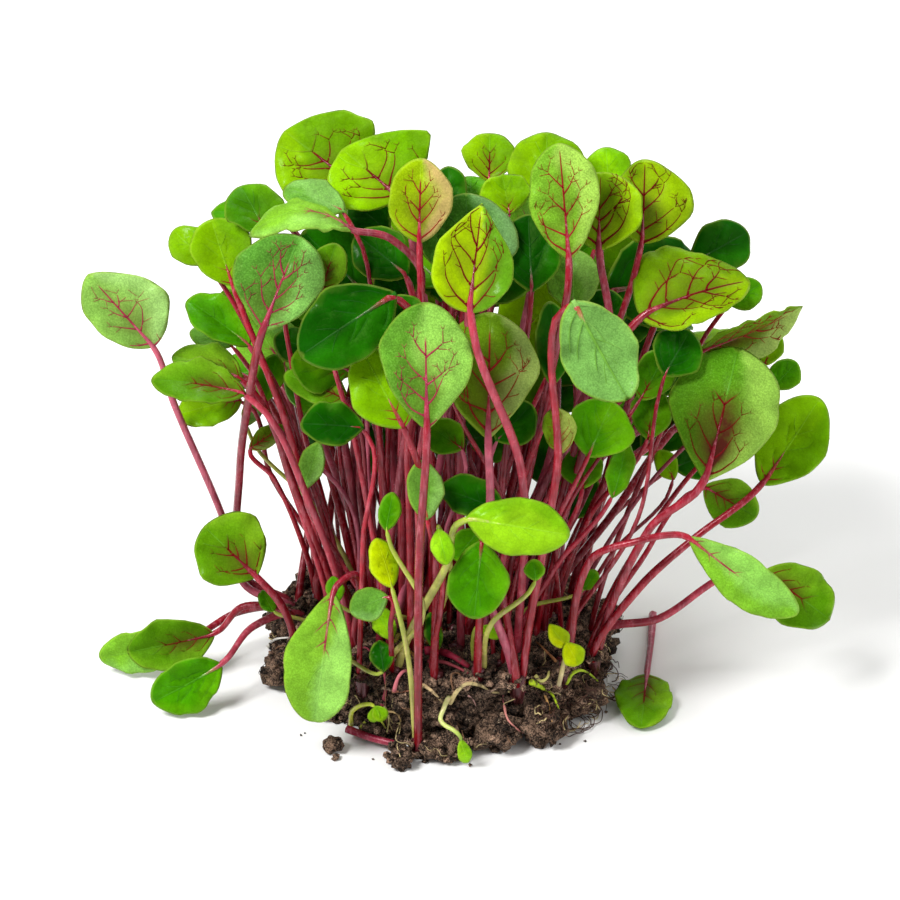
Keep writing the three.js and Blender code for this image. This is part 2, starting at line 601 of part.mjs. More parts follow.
// Whether a leaf would stand in front of a leaf that the reference view shows.
function hidesSeenLeaf(samples, shown) {
  return samples.some((p) => {
    const [px, py, reach] = pixelOf(p);
    return shown.some((view) => {
      const x = (px - view.base[0]) * view.axis[0] + (py - view.base[1]) * view.axis[1];
      const y = (py - view.base[1]) * view.axis[0] - (px - view.base[0]) * view.axis[1];
      const s = x / view.length;
      return s > -0.05 && s < 1.05 && Math.abs(y) < view.half && reach < view.reach + 6;
    });
  });
}

function viewOf(entry) {
  const leaf = entry.blade.leaf;
  const base = pixelOf(leaf.base);
  const tip = pixelOf(add(leaf.base, mul(leaf.axis, leaf.length)));
  const edge = pixelOf(onBlade(leaf, 0.5, 1));
  const other = pixelOf(onBlade(leaf, 0.5, -1));
  const length = Math.hypot(tip[0] - base[0], tip[1] - base[1]);
  return {
    base,
    length,
    axis: [(tip[0] - base[0]) / length, (tip[1] - base[1]) / length],
    half: 0.45 * Math.hypot(edge[0] - other[0], edge[1] - other[1]),
    reach: Math.max(base[2], tip[2]),
  };
}

// The stretches of the canopy that the reference view doesn't show leaf by leaf. angle and
// reach place a leaf round the clump's middle, drop is how far under the dome it may stand.
const HIDDEN_ZONES = [
  { count: 26, angle: [-180, 180], reach: [0, 0.62], drop: [6, 34], length: [17, 24], facing: [0, -0.7, 0.8] },
  { count: 22, angle: [-5, 185], reach: [0.6, 1], drop: [0, 22], length: [16, 23], facing: [0, 0.3, 1] },
  { count: 10, angle: [20, 160], reach: [0.75, 1], drop: [18, 42], length: [13, 19], facing: [0, 0.5, 1] },
];
const CANOPY_MIDDLE = [3, 8];
const CANOPY_HALF_WIDTH = 58;
const CANOPY_HALF_DEPTH = 44;
const CANOPY_TOP = 98;
const CANOPY_FALL = 36;
const LOWEST_HIDDEN_LEAF = 24;

function hiddenBlade(zone) {
  const angle = THREE.MathUtils.degToRad(draw(...zone.angle));
  const reach = draw(...zone.reach);
  const x = CANOPY_MIDDLE[0] + CANOPY_HALF_WIDTH * reach * Math.cos(angle);
  const y = CANOPY_MIDDLE[1] + CANOPY_HALF_DEPTH * reach * Math.sin(angle);
  const base = [x, y, CANOPY_TOP - CANOPY_FALL * reach * reach - draw(...zone.drop)];
  const heading = angle + draw(-0.6, 0.6);
  const climb = draw(0.2, 1.1) - 0.7 * reach;
  const flat = Math.cos(climb);
  const axis = [Math.cos(heading) * flat, Math.sin(heading) * flat, Math.sin(climb)];
  const length = draw(...zone.length);
  const form = {
    name: "hidden",
    width: length * draw(0.72, 0.88),
    roll: draw(-25, 25),
    cup: draw(-0.2, 0.2),
    arch: draw(0.02, 0.1),
    widest: draw(0.46, 0.56),
    stemPieces: FILLER_STEM_PIECES,
    rows: FILLER_BLADE_ROWS,
  };
  const facing = unit([0.3 * Math.cos(angle) + zone.facing[0], zone.facing[1], zone.facing[2]]);
  return dressed(shapedBlade(form, base, add(base, mul(axis, length)), facing));
}

// Fills the rest of the canopy, its back and its sides with leaves drawn by rule. A leaf that
// would cross another plant, hide a known leaf or leave the clump's outline is drawn again.
function growHiddenLeaves(crowns, grown) {
  const shown = grown.map(viewOf);
  const withinCanopy = (p) => {
    const [px, py] = pixelOf(p);
    return inside(px, py, CANOPY_OUTLINE) || (p[1] > 14 && inside(px, py, STEM_OUTLINE));
  };
  const withinClump = (p) => {
    const [px, py] = pixelOf(p);
    return inside(px, py, STEM_OUTLINE) || inside(px, py, CANOPY_OUTLINE);
  };
  for (const zone of HIDDEN_ZONES) {
    let placed = 0;
    for (let attempt = 0; attempt < HIDDEN_TRIES && placed < zone.count; attempt += 1) {
      const blade = hiddenBlade(zone);
      if (blade.samples.some((p) => p[2] < LOWEST_HIDDEN_LEAF || !withinCanopy(p))) continue;
      if (hidesSeenLeaf(blade.samples, shown)) continue;
      const choices = nearestCrowns(crowns, blade.leaf.base, 5);
      const fit = clearStem(blade, choices, [], grown, crowns, (samples) => samples.every(withinClump));
      if (!fit) continue;
      placed += 1;
      fit.crown.leaves += 1;
      fit.crown.taken.push(fit.stem.slot);
      grown.push({ crown: fit.crown, blade, stem: fit.stem });
    }
  }
}

// A closed solid from its vertices and triangles.
function solidOf(vertices, triangles) {
  return new wasm.Manifold(
    new wasm.Mesh({
      numProp: 3,
      vertProperties: new Float32Array(vertices.flat()),
      triVerts: new Uint32Array(triangles.flat()),
    }),
  );
}

// Triangles between two rings with the same number of corners.
function band(first, second, sides) {
  const triangles = [];
  for (let k = 0; k < sides; k += 1) {
    const next = (k + 1) % sides;
    triangles.push([first + k, first + next, second + next], [first + k, second + next, second + k]);
  }
  return triangles;
}

// A prism or cone between two level rings round a vertical line.
function postSolid(x, y, bottom, top, bottomRadius, topRadius, sides) {
  const vertices = [];
  for (const [z, radius] of [[bottom, bottomRadius], [top, topRadius]]) {
    for (let k = 0; k < sides; k += 1) {
      const angle = 2 * Math.PI * k / sides;
      vertices.push([x + radius * Math.cos(angle), y + radius * Math.sin(angle), z]);
    }
  }
  const triangles = band(0, sides, sides);
  for (let k = 1; k + 1 < sides; k += 1) triangles.push([0, k + 1, k], [sides, sides + k, sides + k + 1]);
  return solidOf(vertices, triangles);
}

// A path with its first point drawn back, so that a hole cut along it clears the stem's foot.
function drawnBack(path, reach) {
  const back = mul(unit(sub(path[0], path[1])), reach);
  return [add(path[0], back), ...path.slice(1)];
}

// A bare stalk along a path that lies on the ground.
function stalkSolid(middle, grow) {
  const radius = STEM_FOOT_RADIUS + grow;
  const path = drawnBack(drawnBack(middle, grow).reverse(), grow).reverse();
  const vertices = [];
  for (const [x, y, z] of path) {
    vertices.push([x, y - radius, z], [x, y, z + radius], [x, y + radius, z], [x, y, z - radius]);
  }
  const triangles = [];
  for (let k = 0; k + 1 < path.length; k += 1) triangles.push(...band(4 * k, 4 * k + 4, 4).map(flipped));
  const last = 4 * (path.length - 1);
  triangles.push([0, 1, 2], [0, 2, 3], [last, last + 2, last + 1], [last, last + 3, last + 2]);
  return solidOf(vertices, triangles);
}

// The stem's directions to the left of the blade and over it, carried down from its neck.
function stemFrames(path, leaf) {
  const frames = [];
  let side = leaf.side;
  for (let k = path.length - 1; k >= 0; k -= 1) {
    const heading = unit(sub(path[Math.min(k + 1, path.length - 1)], path[Math.max(k - 1, 0)]));
    side = unit(sub(side, mul(heading, dot(side, heading))));
    frames.unshift({ side, over: cross(heading, side) });
  }
  return frames;
}

// One leaf in one closed piece: a four-sided stem that opens out into the thin blade. The
// blade's corners come in rows of six, three over its surface and three under it.
function leafSolid(entry, grow) {
  const leaf = entry.blade.leaf;
  const path = drawnBack(entry.stem.path, grow);
  const slender = leaf.length < SMALL_BLADE_LENGTH ? SMALL_STEM : 1;
  const vertices = [];
  stemFrames(path, leaf).forEach(({ side, over }, k) => {
    const share = k / (path.length - 1);
    const radius = slender * (STEM_FOOT_RADIUS + (STEM_NECK_RADIUS - STEM_FOOT_RADIUS) * share) + grow;
    for (const way of [mul(side, -1), over, side, mul(over, -1)]) {
      vertices.push(add(path[k], mul(way, radius)));
    }
  });
  const triangles = [[0, 1, 2], [0, 2, 3]];
  for (let k = 0; k + 1 < path.length; k += 1) triangles.push(...band(4 * k, 4 * k + 4, 4).map(flipped));
  const neck = 4 * (path.length - 1);
  const over = mul(leaf.normal, 0.5 * BLADE_THICKNESS + grow);
  for (const s of leaf.rows) {
    const rib = mul(over, -1 - MIDRIB_DEPTH * (1 - s));
    vertices.push(add(onBlade(leaf, s, -1), over), add(onBlade(leaf, s, 0), over));
    vertices.push(add(onBlade(leaf, s, 1), over), sub(onBlade(leaf, s, 1), over));
    vertices.push(add(onBlade(leaf, s, 0), rib), sub(onBlade(leaf, s, -1), over));
  }
  const first = neck + 4;
  const [left, above, right, below] = [neck, neck + 1, neck + 2, neck + 3];
  triangles.push([left, first, above], [above, first, first + 1]);
  triangles.push([above, first + 1, right], [right, first + 1, first + 2]);
  triangles.push([right, first + 2, first + 3]);
  triangles.push([right, first + 3, below], [below, first + 3, first + 4]);
  triangles.push([below, first + 4, left], [left, first + 4, first + 5], [left, first + 5, first]);
  for (let k = 0; k + 1 < leaf.rows.length; k += 1) {
    triangles.push(...band(first + 6 * k, first + 6 * k + 6, 6).map(flipped));
  }
  const last = first + 6 * (leaf.rows.length - 1);
  const tip = last + 6;
  vertices.push(add(onBlade(leaf, 1, 0), over), sub(onBlade(leaf, 1, 0), over));
  triangles.push([last, tip, last + 1], [last + 1, tip, last + 2], [last + 2, tip, last + 3]);
  triangles.push([last + 3, tip, tip + 1], [last + 3, tip + 1, last + 4]);
  triangles.push([last + 4, tip + 1, last + 5], [last + 5, tip + 1, tip], [last + 5, tip, last]);
  return solidOf(vertices, triangles);
}

const flipped = ([a, b, c]) => [a, c, b];

// The short thick stump that a plant's stems rise from, or its wider hole in the soil.
function crownSolid(crown, grow) {
  const bottom = Math.max(crown.top - CROWN_ROOT, 1.5) - grow;
  const clear = crown.flank ? 14 : 4;
  const top = crown.top + (grow > 0 ? clear : 0);
  const flare = grow > 0 ? HOLE_FLARE : 0;
  return postSolid(crown.x, crown.y, bottom, top, 0.8 * CROWN_RADIUS + grow, CROWN_RADIUS + grow + flare, HOLE_SIDES);
}

const crowns = plantedCrowns();
const grown = [];
const unplaced = [];
growSeenLeaves(crowns, grown, unplaced);
growHiddenLeaves(crowns, grown);

// A small leaf on a stalk of its own, told by points of the reference view and their depths.
function sproutEntry(sprout) {
  const stalk = sprout.stalk.map(([px, py, y]) => seen([px, py], y));
  const base = stalk[stalk.length - 1];
  const tip = seen([sprout.tip[0], sprout.tip[1]], sprout.tip[2]);
  const leaf = shapedBlade({ ...sprout, rows: FILLER_BLADE_ROWS }, base, tip, sprout.facing ?? towardEye);
  return { blade: { leaf }, stem: { path: stalk } };
}

// The soil block: a crumbly slab with a flat underside and sloping, uneven flanks.
function soilSolid() {
  const vertices = [[0, 0, soilTop(0, 0)]];
  const rings = [0.36, 0.7, 1];
  const corner = (angle, share, spread) => {
    const bulge = 1 + 0.035 * Math.sin(3 * angle + 0.6) + 0.03 * Math.sin(7 * angle);
    const [across, back] = [Math.abs(Math.cos(angle)), Math.abs(Math.sin(angle))];
    const worn = Math.cos(angle) < 0 && Math.sin(angle) < 0;
    const power = worn ? SOIL_WORN_CORNER : SOIL_CORNERS;
    const square = Math.pow(Math.pow(across, power) + Math.pow(back, power), -1 / power);
    const x = (SOIL_HALF_WIDTH * share * bulge + spread) * square * Math.cos(angle);
    const y = (SOIL_HALF_DEPTH * share * bulge + spread) * square * Math.sin(angle);
    return [x, y];
  };
  for (const share of rings) {
    for (let k = 0; k < SOIL_SIDES; k += 1) {
      const [x, y] = corner(2 * Math.PI * k / SOIL_SIDES, share, 0);
      vertices.push([x, y, soilTop(x, y)]);
    }
  }
  for (const [height, spread] of [[0.45, SOIL_FLANK_SPREAD], [0, SOIL_FLANK_SPREAD * 0.8]]) {
    for (let k = 0; k < SOIL_SIDES; k += 1) {
      const rough = height > 0 ? 0.7 * Math.sin(5.3 * k) : 0;
      const [x, y] = corner(2 * Math.PI * k / SOIL_SIDES, 1, spread + rough);
      vertices.push([x, y, height * SOIL_HEIGHT]);
    }
  }
  const count = rings.length + 2;
  const triangles = [];
  for (let k = 0; k < SOIL_SIDES; k += 1) triangles.push([0, 1 + k, 1 + (k + 1) % SOIL_SIDES]);
  for (let ring = 0; ring + 1 < count; ring += 1) {
    const first = 1 + ring * SOIL_SIDES;
    triangles.push(...band(first, first + SOIL_SIDES, SOIL_SIDES).map(flipped));
  }
  const under = vertices.length;
  const edge = 1 + (count - 1) * SOIL_SIDES;
  vertices.push([0, 0, 0]);
  for (let k = 0; k < SOIL_SIDES; k += 1) triangles.push([under, edge + (k + 1) % SOIL_SIDES, edge + k]);
  return solidOf(vertices, triangles);
}

// A rounded clod of soil with its lowest face flat.
function clodSolid(x, y, z, radius) {
  const shape = new THREE.IcosahedronGeometry(radius, 0);
  const corners = shape.getAttribute("position");
  const vertices = [];
  const triangles = [];
  const index = new Map();
  for (let k = 0; k < corners.count; k += 3) {
    triangles.push([0, 1, 2].map((j) => {
      const corner = new THREE.Vector3().fromBufferAttribute(corners, k + j);
      const key = corner.toArray().map((value) => value.toFixed(4)).join(" ");
      if (!index.has(key)) {
        index.set(key, vertices.length);
        const lump = 1 + 0.14 * Math.sin(3 * corner.x + 5 * corner.y + 2 * x);
        vertices.push([x + corner.x * lump, y + corner.y * lump, Math.max(z + 0.85 * corner.z * lump, 0)]);
      }
      return index.get(key);
    }));
  }
  return solidOf(vertices, triangles);
}

const clump = new THREE.Group();

function show(name, solid, colour, roughness) {
  const { vertProperties, triVerts } = solid.getMesh();
  const geometry = new THREE.BufferGeometry();
  geometry.setAttribute("position", new THREE.BufferAttribute(new Float32Array(vertProperties), 3));
  geometry.setIndex(new THREE.BufferAttribute(new Uint32Array(triVerts), 1));
  const material = new THREE.MeshStandardMaterial({ color: colour, roughness, metalness: 0 });
  const mesh = new THREE.Mesh(geometry, material);
  mesh.name = name;
  clump.add(mesh);
}

let soil = soilSolid();
for (const [x, y, z, radius] of CLODS) soil = soil.add(clodSolid(x, y, z, radius));
for (const crown of crowns) {
  const own = grown.filter((entry) => entry.crown === crown);
  if (own.length === 0) continue;
  let plant = crownSolid(crown, 0);
  soil = soil.subtract(crownSolid(crown, HOLE_CLEARANCE));
  for (const entry of own) {
    plant = plant.add(leafSolid(entry, 0));
    const low = entry.stem.samples.some((p) => {
      const off = Math.hypot(p[0] - crown.x, p[1] - crown.y);
      const over = Math.abs(p[0]) < SOIL_HALF_WIDTH + 4 && Math.abs(p[1]) < SOIL_HALF_DEPTH + 4;
      return off > CROWN_RADIUS && over && p[2] < soilTop(p[0], p[1]) + STEM_FOOT_RADIUS + 1.3;
    });
    if (low || crown.flank) soil = soil.subtract(leafSolid(entry, HOLE_CLEARANCE));
  }
  show(crown.node, plant.simplify(0.03), 0x4f9a1c, 0.5);
}
for (const sprout of SPROUTS) {
  const entry = sproutEntry(sprout);
  show(sprout.name, leafSolid(entry, 0), 0x9fc81e, 0.5);
  if (sprout.rooted) soil = soil.subtract(leafSolid(entry, HOLE_CLEARANCE));
}
const cutStalk = CUT_STALK.map(([px, py, y]) => seen([px, py], y));
show("cut_stalk", stalkSolid(cutStalk, 0), 0x9c2b46, 0.4);
soil = soil.subtract(stalkSolid(cutStalk, HOLE_CLEARANCE));
show("loose_clod", clodSolid(...LOOSE_CLOD), 0x2e211a, 0.95);
const [block] = soil.decompose().sort((a, b) => b.volume() - a.volume());
show("soil_block", block.simplify(0.05), 0x2e211a, 0.95);

export default clump;
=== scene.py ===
"""The look of a clump of young red-veined sorrel that stands in its crumbly block of soil.

Sizes are millimetres until a piece becomes a mesh, with +Z up and the origin in the middle of the
soil's flat underside. The leaves grow by the same rules as the part's solids, so that each plant
fills the space of its own solid.
"""
from __future__ import annotations

import logging
import math
import random
from collections.abc import Callable, Sequence
from dataclasses import dataclass, field
from enum import Enum

import bpy
import numpy as np
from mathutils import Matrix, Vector, noise
from mathutils.bvhtree import BVHTree
from mathutils.geometry import delaunay_2d_cdt


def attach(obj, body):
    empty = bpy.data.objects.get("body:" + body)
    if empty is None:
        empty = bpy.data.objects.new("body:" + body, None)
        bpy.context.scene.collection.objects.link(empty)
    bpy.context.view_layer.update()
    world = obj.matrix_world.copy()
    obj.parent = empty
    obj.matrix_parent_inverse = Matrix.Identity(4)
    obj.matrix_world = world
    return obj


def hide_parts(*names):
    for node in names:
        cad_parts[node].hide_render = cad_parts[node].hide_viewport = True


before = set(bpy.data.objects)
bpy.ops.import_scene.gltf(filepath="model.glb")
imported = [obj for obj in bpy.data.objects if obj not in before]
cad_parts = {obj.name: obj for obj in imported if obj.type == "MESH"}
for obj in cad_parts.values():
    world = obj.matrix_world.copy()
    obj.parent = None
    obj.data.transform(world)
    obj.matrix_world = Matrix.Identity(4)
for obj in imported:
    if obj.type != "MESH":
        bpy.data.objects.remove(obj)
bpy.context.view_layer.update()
LOG = logging.getLogger("sorrel")
MM = 0.001

Array = np.ndarray
Materials = Sequence[bpy.types.Material]
Pixel = tuple[float, float]
Mark = tuple[float, float, float]
Colour = tuple[float, float, float]

# The soil block
SOIL_HALF_WIDTH = 31.0
SOIL_HALF_DEPTH = 24.5
SOIL_HEIGHT = 15.0
SOIL_RELIEF = 1.3
SOIL_FLANK_SPREAD = 1.8
SOIL_CORNERS = 2.7
SOIL_WORN_CORNER = 1.9
CLODS = (
    (-12.2, -22.3, 3, 3.1), (-7.6, -29.4, 2.2, 2.9), (-1.6, -28.6, 2.6, 3), (2.4, -27.6, 3.2, 3.8),
    (11, -25, 4, 4), (20, -22.5, 4, 4.2), (28.5, -15, 5, 4.2),
    (-31.5, -4, 4, 3.8), (-32, 13, 4, 3.6), (32.5, 12, 4.5, 4), (14, 25.5, 4.5, 4.2), (-12, 25.8, 4, 4.4),
    (9.5, -14.4, 14.4, 2.4),
)
LOOSE_CLOD = (-20.6, -26, 1.5, 1.8)
CLOD_FLAT = 0.86
CLOD_TINT = (0.9, 0.85, 0.8)

# The stems
CROWN_SPREAD = 1.1
CROWN_LIFT = 1.2
STEM_FOOT_RADIUS = 0.88
STEM_NECK_RADIUS = 0.62
STEM_SUNK = 0.9
SMALL_STEM = 0.72
SMALL_BLADE_LENGTH = 13
BED_SPACING = 6.5
BED_COLUMNS = 9
BED_ROWS = 7
CROWN_GAP = 5.6
STEM_PIECES = 4
FILLER_STEM_PIECES = 3
MOST_LEAVES = 3
LEAF_CROWDING = 4
HIDDEN_TRIES = 600
LOWEST_BLADE = 0.6
CROWNS_TRIED = 9
HIDDEN_CROWNS_TRIED = 5

# How blunt a blade is towards its base and its tip, in the solids and as it looks
SOLID_POWERS = (0.66, 0.62)
LOOK_POWERS = (0.68, 0.54)

# How far the growing leaves keep from each other
STEM_TO_STEM = 2.5
BLADE_GAP = 1.75
BLADE_EDGE_MARGIN = 1.2
CROWN_CLEARANCE_SQUARED = 8.4
SAMPLE_STEP = 2.4

# The line of sight of the reference view
SIGHT_ELEVATION = math.radians(32)
SIGHT_DISTANCE = 700.0
SIGHT_FOCAL = 3500.0
SIGHT_MIDDLE = 450.0
SIGHT_ORIGIN = (440.0, 672.0)


def srgb(red: int, green: int, blue: int) -> Colour:
    """Turns a colour as it shows on a screen, 0 to 255, into a linear one."""
    shares = (channel / 255 for channel in (red, green, blue))
    return tuple(c / 12.92 if c <= 0.04045 else ((c + 0.055) / 1.055) ** 2.4 for c in shares)


def vec(x: float, y: float, z: float) -> Array:
    """A point or direction."""
    return np.array([x, y, z], dtype=float)


def dot(a: Array, b: Array) -> Array:
    """The dot product of the last axes."""
    return a[..., 0] * b[..., 0] + a[..., 1] * b[..., 1] + a[..., 2] * b[..., 2]


def cross(a: Array, b: Array) -> Array:
    """The cross product of two directions."""
    return vec(a[1] * b[2] - a[2] * b[1], a[2] * b[0] - a[0] * b[2], a[0] * b[1] - a[1] * b[0])


def size(a: Array) -> Array:
    """The length of each vector."""
    return np.sqrt(dot(a, a))


def unit(a: Array) -> Array:
    """Each vector at length one."""
    return a * (1 / size(a))[..., None]


def smooth(value: Array, low: float, high: float) -> Array:
    """A soft step from 0 at low to 1 at high."""
    share = np.clip((value - low) / (high - low), 0, 1)
    return share * share * (3 - 2 * share)


AHEAD = vec(0, math.cos(SIGHT_ELEVATION), -math.sin(SIGHT_ELEVATION))
UPWARD = vec(0, math.sin(SIGHT_ELEVATION), math.cos(SIGHT_ELEVATION))


def sight_line(px: float, py: float) -> Array:
    """The direction in which a pixel of the reference view looks, one unit deep."""
    right = (px - SIGHT_MIDDLE) / SIGHT_FOCAL
    up = (SIGHT_MIDDLE - py) / SIGHT_FOCAL
    return (AHEAD + UPWARD * up) + vec(right, 0, 0)


EYE = sight_line(*SIGHT_ORIGIN) * -SIGHT_DISTANCE
TOWARD_EYE = AHEAD * -1


def seen(px: float, py: float, y: float) -> Array:
    """The point that a pixel shows, at the given distance y behind the clump's middle."""
    line = sight_line(px, py)
    return EYE + line * ((y - EYE[1]) / line[1])


def pixel_of(points: Array) -> tuple[Array, Array, Array]:
    """The pixels that show the points, and how far along the line of sight the points are."""
    away = points - EYE
    reach = dot(away, AHEAD)
    px = SIGHT_MIDDLE + SIGHT_FOCAL * away[..., 0] / reach
    py = SIGHT_MIDDLE - SIGHT_FOCAL * dot(away, UPWARD) / reach
    return px, py, reach


class Outline:
    """A closed polygon in the reference view."""

    def __init__(self, points: Sequence[Pixel]) -> None:
        """Keeps the polygon's slanted sides."""
        here = np.array(points, dtype=float)[:, :, None]
        last = np.roll(here, 1, axis=0)
        kept = (here[:, 1] != last[:, 1])[:, 0]
        self.here = here[kept]
        self.last = last[kept]

    def holds(self, px: Array, py: Array) -> Array:
        """Whether each pixel lies in the polygon."""
        xi, yi = self.here[:, 0], self.here[:, 1]
        xj, yj = self.last[:, 0], self.last[:, 1]
        crossed = (yi > py) != (yj > py)
        crossed &= px < (xj - xi) * (py - yi) / (yj - yi) + xi
        return crossed.sum(axis=0) % 2 == 1


class Look(Enum):
    """The kinds of leaf in the clump."""

    LIME = "lime with a few crimson veins"
    CLEAR = "clear lime with a faintly rosy base"
    NETTED = "lime with strong crimson veins"
    # The darker right half is painted shade on that half of the folded blade.
    SPLIT = "bright lime, darker on the right, with strong crimson veins"
    BRIGHT = "plain bright lime"
    YELLOW = "yellow seedling"
    GREY = "greyish green with a rosy midrib"
    FRESH = "fresh green with a rosy base"
    SPECKLED = "pale speckled green with strong crimson veins"
    BLOTCHED = "light green with a brown heart"
    OLIVE = "olive brown with crimson veins"
    PINKED = "yellow green with a pink side"
    DUSKY = "green with a dark red heart"
    PLAIN = "plain mid green"
    MIDDLE = "mid green with dark red veins"
    DARK = "dark glossy green"
    SHADED = "greyish dark green"
    PALE = "pale underside"
    UNDERSIDE = "pale underside with red veins"


@dataclass(frozen=True)
class LeafFinish:
    """How a kind of leaf is coloured.

    upper is the upper face, second a zone along its right side, under the lower face and wine the
    red of its veins. The second zone is painted light and shade: where it is lighter than upper it
    paints the sheen, and where it is darker it paints the shade that falls on that half of the folded
    blade; in part it is also the leaf's own tone. red is how red the veins are, spread how far out
    along a side vein the red lasts, and reach how far up the midrib it lasts. blush is how brown the
    heart is, net how many small veins show, and stipple how speckled the skin is.
    """

    upper: Colour
    second: Colour
    under: Colour
    wine: Colour
    red: float
    spread: float
    reach: float
    blush: float
    net: float
    stipple: float


CRIMSON = srgb(146, 12, 34)
DARK_WINE = srgb(112, 5, 20)
ROSE = srgb(158, 44, 72)
# In each row the second colour is painted light and shade on the blade's right half, partly the leaf's own
# tone.
FINISHES: dict[Look, LeafFinish] = {
    look: LeafFinish(srgb(*upper), srgb(*second), srgb(*under), wine, *shares)
    for look, upper, second, under, wine, *shares in (
        (Look.LIME, (134, 188, 1), (106, 164, 1), (116, 166, 26), DARK_WINE, 1.0, 0.42, 0.6, 0.1, 0.0, 0.3),
        (Look.CLEAR, (128, 184, 2), (110, 168, 3), (112, 166, 26), CRIMSON, 0.7, 0.0, 0.28, 0.05, 0.0, 0.25),
        (Look.NETTED, (112, 156, 2), (146, 188, 4), (112, 160, 26), DARK_WINE, 1.0, 1.1, 0.95, 0.3, 1.0, 0.3),
        (Look.SPLIT, (164, 202, 2), (92, 150, 22), (112, 160, 26), DARK_WINE, 1.0, 1.0, 0.9, 0.05, 0.7, 0.35),
        (Look.BRIGHT, (146, 204, 22), (128, 192, 14), (128, 184, 40), CRIMSON, 0.0, 0.0, 0.3, 0.0, 0.0, 0.25),
        (Look.YELLOW, (204, 222, 4), (170, 204, 8), (180, 206, 30), CRIMSON, 0.0, 0.0, 0.2, 0.0, 0.0, 0.15),
        (Look.GREY, (88, 146, 44), (140, 198, 88), (118, 172, 76), ROSE, 0.95, 0.55, 0.72, 0.22, 0.5, 1.0),
        (Look.FRESH, (126, 186, 44), (142, 202, 82), (118, 180, 62), ROSE, 0.6, 0.1, 0.5, 0.08, 0.0, 0.7),
        (Look.SPECKLED, (120, 174, 44), (160, 200, 86), (136, 180, 82), CRIMSON,
         1.0, 0.9, 0.95, 0.12, 1.0, 1.0),
        (Look.BLOTCHED, (88, 150, 24), (154, 200, 84), (118, 174, 66), DARK_WINE,
         0.95, 0.35, 0.62, 1.3, 0.0, 0.9),
        (Look.OLIVE, (102, 142, 14), (164, 188, 92), (124, 150, 54), CRIMSON, 1.0, 1.0, 0.85, 0.55, 0.6, 0.8),
        (Look.PINKED, (150, 188, 6), (186, 164, 96), (146, 176, 70), CRIMSON, 1.0, 0.75, 0.75, 0.5, 0.5, 0.6),
        (Look.DUSKY, (88, 146, 8), (116, 170, 26), (100, 152, 44), DARK_WINE, 0.9, 0.3, 0.6, 0.5, 0.0, 0.5),
        (Look.PLAIN, (70, 146, 1), (94, 164, 6), (98, 158, 38), CRIMSON, 0.0, 0.0, 0.4, 0.0, 0.0, 0.3),
        (Look.MIDDLE, (62, 130, 2), (88, 152, 6), (94, 150, 36), DARK_WINE, 0.5, 0.1, 0.4, 0.1, 0.0, 0.35),
        (Look.DARK, (12, 82, 1), (30, 106, 2), (44, 112, 14), CRIMSON, 0.0, 0.0, 0.4, 0.0, 0.0, 0.25),
        (Look.SHADED, (56, 108, 22), (112, 154, 84), (82, 134, 50), CRIMSON, 0.0, 0.0, 0.5, 0.0, 0.0, 0.9),
        (Look.PALE, (104, 160, 50), (130, 182, 82), (116, 172, 76), ROSE, 0.0, 0.0, 0.35, 0.0, 0.0, 0.8),
        (Look.UNDERSIDE, (138, 184, 74), (160, 200, 104), (132, 174, 80), ROSE,
         0.95, 0.85, 0.85, 0.25, 0.6, 0.8),
    )
}

# How much wider than its solid, and how far slid towards its base, the left and the right half
# of a leaf is as the reference view shows them
UNEVEN = {
    "lime_top": (1.0, 0.0, 1.3, 0.42), "lime_back": (1.0, 0.0, 1.34, 0.42),
    "sideways_big": (1.42, 0.22, 0.7, 0.0), "east_big": (1.05, 0.0, 1.16, 0.0),
    "front_hood": (1.14, 0.0, 1.1, 0.0), "lime_pointed": (1.0, 0.0, 0.86, 0.0),
    "lime_right": (0.95, 0.0, 1.5, 0.0), "west_big": (1.14, 0.0, 0.92, 0.0),
    "lower_left": (1.14, -0.2, 0.92, -0.2), "west_round": (1.0, 0.0, 1.16, 0.0),
    "west_far": (1.0, 0.0, 1.4, 0.5), "hanging_pale": (1.12, 0.0, 0.95, 0.0),
    "fold_right": (0.9, 0.0, 1.12, 0.0), "cupped_west": (1.1, 0.0, 1.15, 0.0),
}


@dataclass
class LeafForm:
    """The shape of a blade, whatever its place.

    width is across the blade, roll turns it about its midrib, arch bows it along, cup bows it
    across, fold creases it, wave ripples its edges, and widest says where it is widest.
    """

    name: str
    look: Look
    width: float
    roll: float = 0.0
    arch: float = 0.04
    cup: float = 0.0
    fold: float = 0.0
    wave: float = 0.0
    widest: float = 0.5
    sharp: float = 1.0


@dataclass
class SeenLeaf:
    """A leaf that the reference view shows, told by the pixels of its base and its tip.

    depth is how far behind the clump's middle its base is, and lean how much farther off its tip.
    crown names the plant that it grows from, and via bends its stem through points.
    """

    name: str
    look: Look
    base: Pixel
    tip: Pixel
    depth: float
    lean: float
    width: float
    roll: float = 0.0
    arch: float = 0.04
    cup: float = 0.0
    fold: float = 0.0
    wave: float = 0.0
    widest: float = 0.5
    sharp: float = 1.0
    crown: str = ""
    via: Sequence[Mark] = ()


